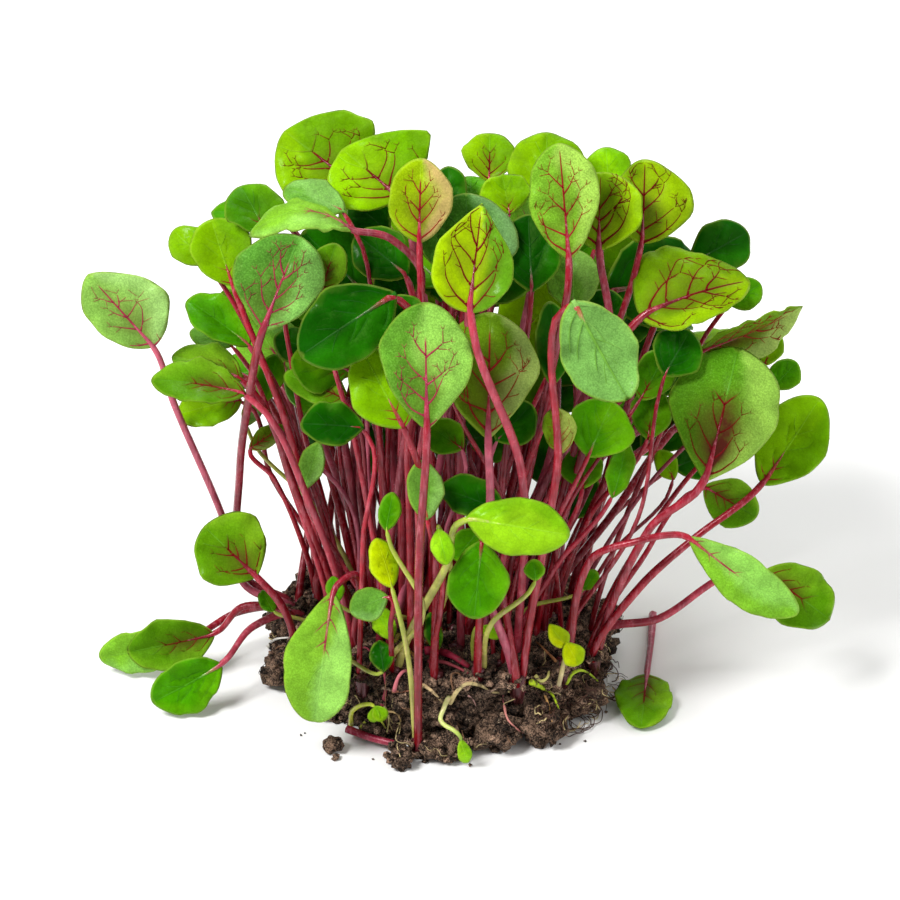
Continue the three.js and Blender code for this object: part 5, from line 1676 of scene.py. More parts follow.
    def add_to(self, piece: Piece, blade: Blade, finish: LeafFinish, tree: VeinTree,
               shake: random.Random) -> None:
        """Adds the blade's two faces and its veins to a piece.

        Args:
            piece: The mesh in the making.
            blade: The blade.
            finish: Its colours.
            tree: Its veins.
            shake: Where its small differences are drawn from.
        """
        spots, rim = self.spots(blade, tree)
        made = delaunay_2d_cdt(spots, [], [list(range(rim))], 1, 1e-5)
        flat = np.array([tuple(p) for p in made[0]])
        faces = np.array([f for f in made[2] if len(f) == 3])
        first, second, third = (flat[faces[:, k]] for k in range(3))
        turn = (second[:, 0] - first[:, 0]) * (third[:, 1] - first[:, 1])
        turn -= (second[:, 1] - first[:, 1]) * (third[:, 0] - first[:, 0])
        turned = bool(dot(cross(blade.axis, blade.side), blade.normal) < 0)
        swapped = (turn < 0) != turned
        faces[swapped] = faces[swapped][:, ::-1]
        on_rim = np.array([any(i < rim for i in source) for source in made[3]])
        phase = shake.uniform(0, 6.28)
        halo, away, ribbed = tree.read(flat)
        upper, lower = self._faces(blade, tree, flat, away, ribbed, phase)
        upper[on_rim] = 0.5 * (upper + lower)[on_rim]
        middle = self.lay(blade, flat)
        top = middle + blade.normal * upper[:, None]
        under = middle + blade.normal * lower[:, None]
        twin = np.arange(len(flat))
        twin[~on_rim] = len(flat) + np.arange((~on_rim).sum())
        s, t, edge = self._shares(blade, tree, flat)
        rim_mark = np.clip(1 - (edge - np.abs(flat[:, 1])) / 0.5, 0, 1)
        rim_mark[on_rim] = 1
        blush = finish.blush * np.exp(-((s - 0.3) / 0.28) ** 2 - (t / 0.6) ** 2)
        right = t if blade.side[0] > 0 else -t
        blush *= 1 + 0.9 * np.exp(-((right - 0.12) / 0.15) ** 2)
        mark = np.stack([halo, blush, rim_mark, np.full(len(flat), finish.stipple)], axis=1)
        change = self._change(shake)
        tint = self._tint(blade, finish, s, t, phase) * change
        under_tint = np.tile(np.array(finish.under) * change, ((~on_rim).sum(), 1))
        piece.add(np.concatenate([top, under[~on_rim]]), np.concatenate([faces, twin[faces[:, ::-1]]]),
                  np.concatenate([tint, under_tint]), np.concatenate([mark, mark[~on_rim]]))
        self._add_veins(piece, blade, finish, tree, phase, change)

    def _add_veins(self, piece: Piece, blade: Blade, finish: LeafFinish, tree: VeinTree, phase: float,
                   change: Array) -> None:
        """Adds the veins of a blade as ribs that stand a little proud of both faces."""
        wine = np.array(finish.wine)
        for vein in tree.veins:
            flat, halves, reds = vein.points, vein.halves, vein.reds
            away, ribbed = np.zeros(len(flat)), np.ones(len(flat))
            if not vein.main:
                _, away, ribbed = tree.read(flat)
            upper, lower = self._faces(blade, tree, flat, away, ribbed, phase)
            path = self.lay(blade, flat) + blade.normal * (0.5 * (upper + lower))[:, None]
            ways = np.gradient(flat, axis=0)
            ways /= np.hypot(ways[:, 0], ways[:, 1])[:, None] + 1e-9
            across = blade.side * ways[:, :1] - blade.axis * ways[:, 1:]
            heights = 0.5 * (upper - lower) + self.proud
            heights[-1] *= 0.6
            points, triangles = strap(path, across, halves, heights)
            s, t, _ = self._shares(blade, tree, flat)
            green = self._tint(blade, finish, s, t, phase) * change * 1.06 + 0.012
            red = smooth(reds, 0.04, 0.38)[:, None]
            tint = green * (1 - red) + wine * red
            tint = np.concatenate([np.repeat(tint, 6, axis=0), tint[:1], tint[-1:]])
            piece.add(points, triangles, tint, np.array([0, 0, 0, 0.15]))

    @staticmethod
    def _change(shake: random.Random) -> Array:
        """How one leaf's colour differs from its kind's."""
        bright = shake.uniform(0.9, 1.1)
        return np.array([bright * shake.uniform(0.93, 1.07), bright, bright * shake.uniform(0.8, 1.2)])

    @staticmethod
    def _tint(blade: Blade, finish: LeafFinish, s: Array, t: Array, phase: float) -> Array:
        """The colour of each point of the upper face, with the second colour along its right side as painted
        sheen and painted shade of the folded half.
        """
        right = t if blade.side[0] > 0 else -t
        painted_side_drift = right + 0.35 * np.sin(3.3 * s + phase) + 0.2 * np.sin(5 * s * (1 + t) + 2 * phase)
        share = smooth(painted_side_drift, 0.0, 0.34)[:, None]
        return np.array(finish.upper) * (1 - share) + np.array(finish.second) * share


@dataclass
class StalkSkin:
    """Meshes stems as ridged tubes that run on as the midribs of their blades."""

    sides: int = 10
    finer: int = 5
    ridges: float = 0.05
    rib_end: float = 0.55
    rib_points: int = 10
    slenderness: float = 1.0
    sunk: float = 1.6

    def _line(self, blade: Blade, path: Array) -> tuple[Array, Array]:
        """The middle line of the stem and the midrib, rounded where they meet, and how far along
        the midrib each point is."""
        s = self.rib_end * ((np.arange(self.rib_points) + 1) / self.rib_points) ** 1.2
        spine = blade.surface(s, np.zeros(len(s)))
        down = path[0] - vec(0, 0, self.sunk)
        line = np.concatenate([[down], path, spine])
        neck = len(path)
        for _ in range(3):
            for k in range(neck - 1, neck + 2):
                line[k] = 0.25 * line[k - 1] + 0.5 * line[k] + 0.25 * line[k + 1]
        return line, np.concatenate([np.zeros(len(path) + 1), s])

    def add_to(self, piece: Piece, blade: Blade, path: Array, tints: Sequence[Colour],
               finish_number: int) -> None:
        """Adds a stem and the midrib that it becomes.

        Args:
            piece: The mesh in the making.
            blade: The blade that the stem carries.
            path: The stem's middle line, from its foot to the blade.
            tints: Its colours at its foot, at the blade and at the midrib's end.
            finish_number: Which of the piece's materials it has.
        """
        slender = self.slenderness * (SMALL_STEM if blade.length < SMALL_BLADE_LENGTH else 1)
        line, s = self._line(blade, path)
        count = len(path) + 1
        share = np.clip(np.arange(len(line)) / count, 0, 1)
        neck_radius = STEM_NECK_RADIUS * (1 + 0.28 * smooth(blade.form.width, 12, 16))
        radii = slender * (STEM_FOOT_RADIUS + (neck_radius - STEM_FOOT_RADIUS) * share)
        radii = radii * (1 + 0.04 * np.sin(9 * share + path[0][0]))
        thin = min(1.0, 0.35 + 0.65 * blade.form.width / 14)
        radii = radii * (1 - (1 - 0.1) * smooth(s, -0.05, self.rib_end) ** 0.8) * np.where(s > 0, thin, 1)
        points, triangles, along = tube(line, radii, self.sides, self.ridges)
        where = along * (len(line) - 1)
        climb = np.clip(where / count, 0, 1)[:, None] ** 1.2
        over = smooth(np.clip((where - count) / (len(line) - count), 0, 1), 0.0, 0.5)[:, None]
        foot, neck, end = (np.array(tint) for tint in tints)
        skin = (foot * (1 - climb) + neck * climb) * (1 - over) + end * over
        piece.add(points, triangles, skin, finish=finish_number)


class Signal:
    """A value in a material. Python's operators on it add Math nodes."""

    def __init__(self, maker: "NodeMaker", socket: bpy.types.NodeSocket) -> None:
        """Wraps a socket."""
        self.maker = maker
        self.socket = socket

    def _math(self, operation: str, first: "Signal | float", second: "Signal | float") -> "Signal":
        """Adds one Math node."""
        return self.maker.add("ShaderNodeMath", {"operation": operation}, {0: first, 1: second})

    def __add__(self, other: "Signal | float") -> "Signal":
        """self + other"""
        return self._math("ADD", self, other)

    __radd__ = __add__

    def __sub__(self, other: "Signal | float") -> "Signal":
        """self - other"""
        return self._math("SUBTRACT", self, other)

    def __rsub__(self, other: float) -> "Signal":
        """other - self"""
        return self._math("SUBTRACT", other, self)

    def __mul__(self, other: "Signal | float") -> "Signal":
        """self * other"""
        return self._math("MULTIPLY", self, other)

    __rmul__ = __mul__


class NodeMaker:
    """Adds the nodes of one material."""

    def __init__(self, name: str) -> None:
        """Starts an empty material."""
        self.material = bpy.data.materials.new(name)
        self.material.use_nodes = True
        self.tree = self.material.node_tree
        self.tree.nodes.clear()

    def node(self, kind: str, settings: dict[str, object],
             sockets: dict[int | str, object]) -> bpy.types.Node:
        """Adds a node.

        Args:
            kind: The node's type.
            settings: Its options, set before its sockets.
            sockets: The value of each input, or the signal that feeds it.

        Returns:
            The node.
        """
        node = self.tree.nodes.new(kind)
        for name, value in settings.items():
            setattr(node, name, value)
        for key, value in sockets.items():
            if isinstance(value, Signal):
                self.tree.links.new(value.socket, node.inputs[key])
            else:
                node.inputs[key].default_value = value
        return node

    def add(self, kind: str, settings: dict[str, object], sockets: dict[int | str, object],
            output: int | str = 0) -> Signal:
        """Adds a node and hands on one of its outputs."""
        return Signal(self, self.node(kind, settings, sockets).outputs[output])

    def attribute(self, name: str, output: str = "Color") -> Signal:
        """The colour of a point attribute, or its fourth number as Alpha."""
        return self.add("ShaderNodeAttribute", {"attribute_name": name}, {}, output)

    def split(self, colour: Signal) -> tuple[Signal, Signal, Signal]:
        """The three numbers of a colour."""
        parts = self.add("ShaderNodeSeparateColor", {}, {0: colour})
        outputs = parts.socket.node.outputs
        return parts, Signal(self, outputs[1]), Signal(self, outputs[2])

    def place(self) -> Signal:
        """The place on the object, in metres."""
        return self.add("ShaderNodeTexCoord", {}, {}, "Object")

    def grain(self, place: Signal, scale: float, detail: float, roughness: float = 0.55) -> Signal:
        """Soft noise from 0 to 1."""
        sockets = {"Vector": place, "Scale": scale, "Detail": detail, "Roughness": roughness}
        return self.add("ShaderNodeTexNoise", {}, sockets, 0)

    def cells(self, place: Signal, scale: float, feature: str) -> Signal:
        """The distance to the edges or middles of scattered cells."""
        return self.add("ShaderNodeTexVoronoi", {"feature": feature}, {"Vector": place, "Scale": scale},
                        "Distance")

    def step(self, value: Signal, low: float, high: float, start: float = 0.0, end: float = 1.0) -> Signal:
        """A soft step of a value between two limits."""
        sockets = {"Value": value, "From Min": low, "From Max": high, "To Min": start, "To Max": end}
        return self.add("ShaderNodeMapRange", {"interpolation_type": "SMOOTHSTEP"}, sockets)

    def mix(self, share: Signal | float, first: Signal | Colour, second: Signal | Colour,
            blend: str = "MIX") -> Signal:
        """Two colours mixed."""
        settings = {"data_type": "RGBA", "blend_type": blend, "clamp_factor": True}
        pair = [value if isinstance(value, Signal) else (*value, 1) for value in (first, second)]
        return self.add("ShaderNodeMix", settings, {0: share, 6: pair[0], 7: pair[1]}, 2)

    def grey(self, value: Signal) -> Signal:
        """A number as a grey colour."""
        return self.add("ShaderNodeCombineColor", {}, {0: value, 1: value, 2: value})

    def bump(self, height: Signal, strength: float, distance: float) -> Signal:
        """A relief told by light alone, distance in metres."""
        return self.add("ShaderNodeBump", {}, {"Height": height, "Strength": strength, "Distance": distance})

    def finish(self, surface: Signal) -> bpy.types.Material:
        """Gives the material its surface."""
        self.node("ShaderNodeOutputMaterial", {}, {"Surface": surface})
        return self.material


@dataclass(frozen=True)
class LeafSkinFinish:
    """The blades: speckled green with a fine net, a brownish glow round the red veins, a pale rim."""

    brown: Colour = srgb(84, 30, 26)
    pale: Colour = srgb(176, 206, 70)
    bloom: Colour = srgb(178, 208, 130)
    through: Colour = srgb(110, 186, 4)
    gloss: float = 0.34

    def build(self) -> bpy.types.Material:
        """Makes the material."""
        m = NodeMaker("leaf_blade")
        place = m.place()
        halo, blush, rim = m.split(m.attribute("mark"))
        stipple = m.attribute("mark", "Alpha")
        patches = m.grain(place, 210, 3)
        fine = m.grain(place, 3100, 3, 0.75)
        net = m.step(m.cells(place, 1050, "DISTANCE_TO_EDGE"), 0.0, 0.11)
        shade = m.step(patches, 0.3, 0.72, 0.76, 1.14) * (net * 0.1 + 0.92)
        spots = m.step(fine, 0.34, 0.66, -0.26, 0.26) * stipple + 1.0
        green = m.mix(1.0, m.attribute("tint"), m.grey(shade * spots), "MULTIPLY")
        dusted = m.mix(m.step(fine, 0.55, 0.72) * stipple * stipple * 0.16, green, self.bloom)
        heart = m.mix(blush * m.step(patches, 0.25, 0.7, 0.5, 1.1) * 0.72, dusted, self.brown)
        ring = m.mix(halo * 0.36 * m.step(fine, 0.2, 0.8, 0.6, 1.2), heart, self.brown)
        rimmed = m.mix(rim * 0.4, ring, self.pale)
        normal = m.bump(net * 0.35 + fine * 0.7, 0.4, 0.00016)
        rough = stipple * 0.16 + self.gloss + (fine - 0.5) * 0.14
        skin = m.add("ShaderNodeBsdfPrincipled", {}, {
            "Base Color": rimmed, "Roughness": rough, "Normal": normal, "Specular IOR Level": 0.07,
            "Specular Tint": (0.8, 1.0, 0.3, 1.0), "Coat Weight": m.step(patches, 0.55, 0.75) * 0.16,
            "Coat Roughness": 0.16,
        })
        glow = m.add("ShaderNodeBsdfTranslucent", {}, {"Color": (*self.through, 1)})
        return m.finish(m.add("ShaderNodeMixShader", {}, {0: 0.14, 1: skin, 2: glow}))


@dataclass(frozen=True)
class StalkFinish:
    """The stems: crimson with paler streaks along them that paint the highlights of their gloss on the
    ridges, and a soft shine.
    """

    # The pale pink of the streaks, a painted highlight.
    pale: Colour = srgb(226, 140, 156)

    def build(self) -> bpy.types.Material:
        """Makes the material."""
        m = NodeMaker("stalk")
        place = m.place()
        tint = m.attribute("tint")
        long = m.add("ShaderNodeMapping", {}, {"Vector": place, "Scale": (1.0, 1.0, 0.14)})
        ridge_sheen_streaks = m.step(m.grain(long, 1500, 3, 0.6), 0.48, 0.72)
        clouds = m.grain(place, 330, 3)
        shade = m.step(clouds, 0.3, 0.7, 0.7, 1.2)
        base = m.mix(1.0, tint, m.grey(shade), "MULTIPLY")
        # Painted highlight: pale pink streaks mixed along the stem.
        sheen_streaked = m.mix(ridge_sheen_streaks * 0.26, base, self.pale)
        fine = m.grain(place, 3000, 2)
        normal = m.bump(ridge_sheen_streaks * 0.7 + fine * 0.4, 0.35, 0.00018)
        skin = m.add("ShaderNodeBsdfPrincipled", {}, {
            "Base Color": sheen_streaked, "Roughness": 0.2 + clouds * 0.12, "Normal": normal,
            "Specular IOR Level": 0.62, "Specular Tint": (1.0, 0.7, 0.76, 1.0),
        })
        return m.finish(skin)


@dataclass(frozen=True)
class SoilFinish:
    """The soil: nearly black and crumbly, with pale grains."""

    dark: Colour = srgb(18, 11, 9)
    brown: Colour = srgb(170, 141, 120)
    pale: Colour = srgb(196, 176, 150)

    def build(self) -> bpy.types.Material:
        """Makes the material."""
        m = NodeMaker("soil")
        place = m.place()
        tint = m.attribute("tint")
        coarse = m.grain(place, 520, 5, 0.65)
        fine = m.grain(place, 3000, 4, 0.75)
        mixed = m.step(coarse * 0.4 + fine * 0.6, 0.44, 0.62)
        earth = m.mix(mixed, self.dark, self.brown)
        tinted = m.mix(1.0, earth, tint, "MULTIPLY")
        grains = m.step(m.cells(place, 1700, "F1"), 0.26, 0.14)
        chosen = m.step(m.grain(place, 1100, 1), 0.56, 0.64)
        speckled = m.mix(grains * chosen * 0.75, tinted, self.pale)
        normal = m.bump(coarse * 0.6 + fine * 0.9, 0.9, 0.0006)
        skin = m.add("ShaderNodeBsdfPrincipled", {}, {
            "Base Color": speckled, "Roughness": 0.88 + (fine - 0.5) * 0.2, "Normal": normal,
            "Specular IOR Level": 0.2,
        })
        return m.finish(skin)


@dataclass(frozen=True)
class ThreadFinish:
    """The roots: pale brown to pinkish, dirtied with soil."""

    dirt: Colour = srgb(60, 42, 30)

    def build(self) -> bpy.types.Material:
        """Makes the material."""
        m = NodeMaker("root")
        place = m.place()
        clouds = m.grain(place, 700, 3)
        dirty = m.mix(m.step(clouds, 0.5, 0.68) * 0.75, m.attribute("tint"), self.dirt)
        skin = m.add("ShaderNodeBsdfPrincipled", {}, {
            "Base Color": dirty, "Roughness": 0.5 + clouds * 0.2, "Normal": m.bump(clouds, 0.4, 0.0001),
            "Specular IOR Level": 0.3,
        })
        return m.finish(skin)


@dataclass(frozen=True)
class FloorFinish:
    """The floor: plain and pale."""

    pale: Colour = srgb(244, 244, 243)

    def build(self) -> bpy.types.Material:
        """Makes the material."""
        m = NodeMaker("floor")
        cloud = m.grain(m.place(), 9, 2)
        skin = m.add("ShaderNodeBsdfPrincipled", {}, {
            "Base Color": m.mix(cloud * 0.04, self.pale, srgb(230, 230, 228)), "Roughness": 0.7,
            "Specular IOR Level": 0.2,
        })
        return m.finish(skin)


@dataclass
class Plants:
    """The plants: crowns, stems and blades, one piece for each plant of the frame.

    Slender plants stand between them, with small leaves that fill the inside of the clump, mostly dark green
    as painted shade there.
    """

    shown_skin: BladeSkin = field(default_factory=BladeSkin)
    hidden_skin: BladeSkin = field(default_factory=lambda: BladeSkin(spacing=1.7, along_veins=1.0))
    stalk_skin: StalkSkin = field(default_factory=StalkSkin)
    slender_skin: StalkSkin = field(default_factory=lambda: StalkSkin(sides=8, finer=4, slenderness=0.85))
    foot_tint: Colour = srgb(134, 8, 22)
    neck_tint: Colour = srgb(158, 16, 40)
    pink_and_sheen_tint: Colour = srgb(214, 116, 142)
    lime_tint: Colour = srgb(158, 184, 50)
    seedling_tint: Colour = srgb(176, 170, 92)
    crown_tint: Colour = srgb(66, 26, 26)
    slender_plants: int = 62
    slender_gap: float = 2.9
    slender_tries: int = 4000
    slender_reach: Pixel = (28, 21.5)
    crown_radius: float = 1.95
    crown_sides: int = 12
    inner_zones: Sequence[Zone] = (
        Zone(36, (-180, 180), (0, 0.6), (14, 46), (9, 14), (0, -0.7, 0.6)),
        Zone(30, (15, 165), (0.4, 0.95), (30, 66), (10, 16), (0, -0.6, 0.5)),
    )

    def grow(self) -> Bed:
        """Grows all the leaves where the solids have them, then the slender plants between them."""
        bed = Bed(planted_crowns())
        bed.grow_seen(SEEN_LEAVES)
        shown = ShownLeaves(bed.leaves)
        canopy = Canopy()
        bed.grow_hidden(canopy, Dice(HIDDEN_SEED), shown, canopy.zones)
        LOG.info("leaves: %d, without room: %s", len(bed.leaves), ", ".join(bed.unplaced) or "none")
        bed.plant(self._slender_crowns(bed), 1.5, 1.0)
        bed.grow_seen(SMALL_LEAVES)
        LOG.info("small leaves without room: %s", ", ".join(bed.unplaced) or "none")
        bed.grow_hidden(canopy, Dice(INNER_SEED), shown, self.inner_zones)
        LOG.info("leaves with the slender plants' own: %d", len(bed.leaves))
        return bed

    def _slender_crowns(self, bed: Bed) -> list[Crown]:
        """Draws places for slender plants between the others."""
        shake = random.Random(SLENDER_SEED)
        found: list[Crown] = []
        for _ in range(self.slender_tries):
            x, y = shake.uniform(-26, 27), shake.uniform(-16, 20)
            outside = math.hypot(x / self.slender_reach[0], y / self.slender_reach[1]) > 1
            if outside or len(found) >= self.slender_plants:
                continue
            if all(math.hypot(c.x - x, c.y - y) > self.slender_gap for c in [*bed.crowns, *found]):
                found.append(Crown("slender", x, y, soil_top(x, y) + 0.6, False, "slender"))
        return found

    def build(self, bed: Bed, materials: Materials) -> None:
        """Builds every plant.

        Args:
            bed: The grown leaves.
            materials: The blades' finish and the stems'.
        """
        slender = Piece("slender_plants_look")
        for crown in bed.crowns:
            own = [leaf for leaf in bed.leaves if leaf.crown is crown]
            if not own:
                continue
            inner = crown.name == "slender"
            piece = slender if inner else Piece(crown.node + "_look")
            shake = random.Random(f"{crown.node} {crown.x:.2f}")
            self._add_crown(piece, crown, 0.6 if inner else 1.0, shake)
            for leaf in own:
                path = bed.eased(leaf, leaf.stem.path(self.stalk_skin.finer))
                self._add_leaf(piece, leaf, path, shake, inner)
            if not inner:
                piece.build(materials, "leaf", [crown.node])
        slender.build(materials, "leaf", [])

    def _add_leaf(self, piece: Piece, leaf: Leaf, path: Array, shake: random.Random, inner: bool) -> None:
        """Adds one leaf, with its stem along a path."""
        blade = leaf.blade
        hidden = not isinstance(blade.form, SeenLeaf)
        look = self._hidden_look(blade, shake, inner) if hidden else blade.form.look
        finish = FINISHES[look]
        tree = VeinTree(blade, finish, shake, not hidden)
        skin = self.hidden_skin if hidden else self.shown_skin
        skin.add_to(piece, blade, finish, tree, shake)
        stalk = self.slender_skin if inner else self.stalk_skin
        stalk.add_to(piece, blade, path, self._stem_tints(finish, blade, shake, inner), 1)

    def _stem_tints(self, finish: LeafFinish, blade: Blade, shake: random.Random,
                    inner: bool) -> Sequence[Array]:
        """The colours of a stem at its foot, at its blade and at the midrib's end. A few are mixed towards
        pale pink, partly their own colour and partly a painted highlight, and those of the slender plants
        deep inside are painted darker as shade.
        """
        # The pale pink mix is partly the stem's own colour, partly a painted highlight.
        pink = shake.random() ** 6 * 0.6
        # The slender plants' stems stand deep inside, so they are painted darker as shade.
        bright = shake.uniform(0.72, 1.25) * (0.72 if inner else 1.0)
        foot, neck = ((np.array(tint) * (1 - pink) + np.array(self.pink_and_sheen_tint) * pink) * bright
                      for tint in (self.foot_tint, self.neck_tint))
        if blade.form.look in (Look.YELLOW, Look.BRIGHT) or (finish.red == 0 and blade.form.width < 5):
            foot, neck = np.array(self.seedling_tint), np.array(self.lime_tint)
        red = min(1.0, finish.red * 1.3)
        green = np.array(finish.upper) * 1.15 + 0.012
        end = np.array(finish.wine) * red + green * (1 - red)
        return foot, neck, end

    @staticmethod
    def _hidden_look(blade: Blade, shake: random.Random, inner: bool) -> Look:
        """Draws the kind of a leaf that the reference view doesn't show. The slender plants' leaves and the
        low ones at the front mostly get the dark kinds, which paint the shade inside the canopy.
        """
        kinds = (Look.LIME, Look.CLEAR, Look.PLAIN, Look.DARK, Look.FRESH, Look.DUSKY, Look.MIDDLE)
        if inner:
            return shake.choices(kinds, (0, 0, 1, 8, 0, 0, 2))[0]
        if blade.base[1] < 16 and blade.base[2] < 90:
            return shake.choices(kinds, (0, 1, 3, 9, 0, 1, 4))[0]
        return shake.choices(kinds, (3, 5, 4, 2, 3, 2, 3))[0]

    def _add_crown(self, piece: Piece, crown: Crown, share: float, shake: random.Random) -> None:
        """Adds the stump that the stems rise from, almost buried in the soil."""
        sides = self.crown_sides
        bottom = max(crown.top - 7, 1.5)
        top = crown.top - 0.45
        turns = 2 * math.pi * np.arange(sides) / sides
        rows = ((bottom, 0.6), (bottom + 2.4, 0.74), (top - 1.4, 0.86), (top - 0.5, 0.82), (top - 0.1, 0.6),
                (top, 0.3))
        rings = []
        for height, narrow in rows:
            radius = self.crown_radius * share * narrow * (1 + 0.07 * np.sin(3 * turns + crown.x))
            radius = radius + shake.uniform(-0.02, 0.02)
            x = crown.x + radius * np.cos(turns)
            y = crown.y + radius * np.sin(turns)
            rings.append(np.stack([x, y, np.full(sides, height)], axis=1))
        points = np.concatenate([*rings, [[crown.x, crown.y, bottom], [crown.x, crown.y, top]]])
        piece.add(points, closed_rings(len(rows), sides), self.crown_tint, finish=1)


def push_off(points: Array, line: Array, clear: float) -> Array:
    """Moves the points that lie too near a line away from it."""
    moved = points.copy()
    for start, end in zip(line[:-1], line[1:]):
        run = end - start
        u = np.clip(dot(moved - start, run) / (dot(run, run) + 1e-12), 0, 1)
        away = moved - (start + u[:, None] * run)
        gap = size(away) + 1e-9
        near = gap < clear
        moved[near] += away[near] * ((clear - gap[near]) / gap[near])[:, None]
    return moved


@dataclass
class Soil:
    """The block of soil with its clods, crumbs and grains."""

    sides: int = 192
    rings: int = 40
    flank_rows: int = 14
    crumbs: int = 1500
    grains: int = 2600
    stalk_room: float = 1.25
    front_cut: float = 3.2
    stray_scale: float = 0.2
    stray: Sequence[tuple[float, float, float]] = (
        (402, 760, 11), (421, 750, 8), (447, 751, 11), (465, 748, 5.5), (432, 741, 7), (412, 746, 4),
        (336, 757, 3.4), (301, 735, 1.2), (305, 733, 0.9), (373, 759, 1.1), (331, 741, 1.8),
        (585, 741, 1.2), (606, 712, 1.4), (560, 744, 1.0), (274, 668, 5.5), (264, 676, 2.6),
        (283, 683, 2.2), (421, 757, 2.4), (470, 765, 1.6), (500, 748, 1.8), (640, 700, 1.0),
    )

    def corner(self, angle: Array, share: float, spread: float) -> tuple[Array, Array]:
        """A point of the block's outline, drawn in by a share and spread by millimetres."""
        bulge = 1 + 0.035 * np.sin(3 * angle + 0.6) + 0.03 * np.sin(7 * angle)
        worn = (np.cos(angle) < 0) & (np.sin(angle) < 0)
        power = np.where(worn, SOIL_WORN_CORNER, SOIL_CORNERS)
        across, back = np.abs(np.cos(angle)) + 1e-9, np.abs(np.sin(angle)) + 1e-9
        square = (across ** power + back ** power) ** (-1 / power)
        x = (SOIL_HALF_WIDTH * share * bulge + spread) * square * np.cos(angle)
        y = (SOIL_HALF_DEPTH * share * bulge + spread) * square * np.sin(angle)
        return x, y

    @staticmethod
    def _hollow(angle: Array, down: float) -> Array:
        """How much the front of the flank is drawn in at a share of its height."""
        return smooth(-np.sin(angle), 0.2, 0.9) * (0.4 + 0.6 * down)

    @staticmethod
    def _rough(points: Array, step: float, seed: float) -> Array:
        """Noise at points with lumps of a size."""
        away = Vector((seed, -seed, 2 * seed))
        return np.array([noise.fractal(Vector(p) / step + away, 0.75, 2.2, 4) for p in points])

    @staticmethod
    def _pits(points: Array, step: float) -> Array:
        """How deep the cracks between crumbs are at points, from 0 to 1."""
        found = []
        for p in points:
            near = noise.voronoi(Vector(p) / step)[0]
            found.append(1 - min(1.0, 3.2 * (near[1] - near[0])))
        return np.array(found)

    def block(self, piece: Piece, lines: Sequence[Array]) -> None:
        """Adds the block itself, with room round what lies in it."""
        angle = 2 * math.pi * np.arange(self.sides) / self.sides
        rings = []
        for k in range(self.rings):
            x, y = self.corner(angle, ((k + 1) / self.rings) ** 0.85, 0)
            z = np.array([soil_top(*spot) for spot in zip(x, y)])
            rings.append(np.stack([x, y, z], axis=1))
        for k in range(self.flank_rows):
            down = (k + 1) / self.flank_rows
            spread = SOIL_FLANK_SPREAD * (min(1, down / 0.55) - 0.2 * max(0, (down - 0.55) / 0.45))
            x, y = self.corner(angle, 1, spread - 0.3 - self.front_cut * self._hollow(angle, down))
            z = rings[self.rings - 1][:, 2] * (1 - down)
            rings.append(np.stack([x, y, z], axis=1))
        points = np.concatenate([*rings, [[0, 0, soil_top(0, 0)], [0, 0, 0]]])
        count = len(rings)
        rough = self._rough(points, 3.4, 11.0) * 0.8 + self._rough(points, 1.1, 37.0) * 0.4
        rough -= 0.9 * self._pits(points, 2.4) + 0.4 * self._pits(points, 1.1)
        away = unit(np.stack([points[:, 0] / 31, points[:, 1] / 24.5, np.full(len(points), 0.5)], axis=1))
        flank = smooth(SOIL_HEIGHT - points[:, 2], 1.5, 6.0)
        push = away * flank[:, None] + vec(0, 0, 1) * (1 - flank)[:, None]
        foot = np.clip(points[:, 2] / 1.5, 0, 1)
        points = points + push * (rough * (0.3 + 0.7 * foot))[:, None]
        for line in lines:
            points = push_off(points, line, self.stalk_room)
        points[:, 2] = np.maximum(points[:, 2], 0)
        last = self.sides * (count - 1)
        points[last:last + self.sides, 2] = 0
        points[-1] = (0, 0, 0)
        triangles = [band(self.sides * (k + 1), self.sides * k, self.sides) for k in range(count - 1)]
        triangles.append(fan(len(points) - 2, 0, self.sides, True))
        triangles.append(fan(len(points) - 1, last, self.sides, False))
        piece.add(points, np.concatenate(triangles), (1.0, 1.0, 1.0))

    def _surface_spot(self, shake: random.Random) -> Array:
        """Draws a place on the block's top or flank."""
        angle = np.array(shake.uniform(0, 2 * math.pi))
        if shake.random() < 0.45:
            x, y = self.corner(angle, math.sqrt(shake.random()) * 0.99, 0)
            return vec(float(x), float(y), soil_top(float(x), float(y)) - 0.2)
        down = shake.random() ** 0.8
        front = float(self._hollow(angle, down))
        spread = SOIL_FLANK_SPREAD * min(1, down / 0.55)
        x, y = self.corner(angle, 1, spread - 0.5 - self.front_cut * front)
        return vec(float(x), float(y), soil_top(float(x), float(y)) * (1 - down))

    @staticmethod
    def _crumb(piece: Piece, middle: Array, radius: float, fine: int, shake: random.Random) -> None:
        """Adds a crumb that doesn't reach under the floor."""
        points, triangles = ball(middle, radius, 0.5, 0.88, shake, fine)
        points[:, 2] = np.maximum(points[:, 2], 0)
        shade = 0.4 + 1.7 * shake.random() ** 1.6
        piece.add(points, triangles, (shade, shade * 0.96, shade * 0.92))

    def add_crumbs(self, piece: Piece, bed: Bed, lines: Sequence[Array]) -> None:
        """Adds the clods, crumbs and grains that the block falls apart into."""
        shake = random.Random(CRUMB_SEED)
        self._add_clods(piece, lines, shake)
        self._add_grains(piece, lines, shake)
        self._add_collars(piece, bed, shake)
        self._add_stray(piece, shake)

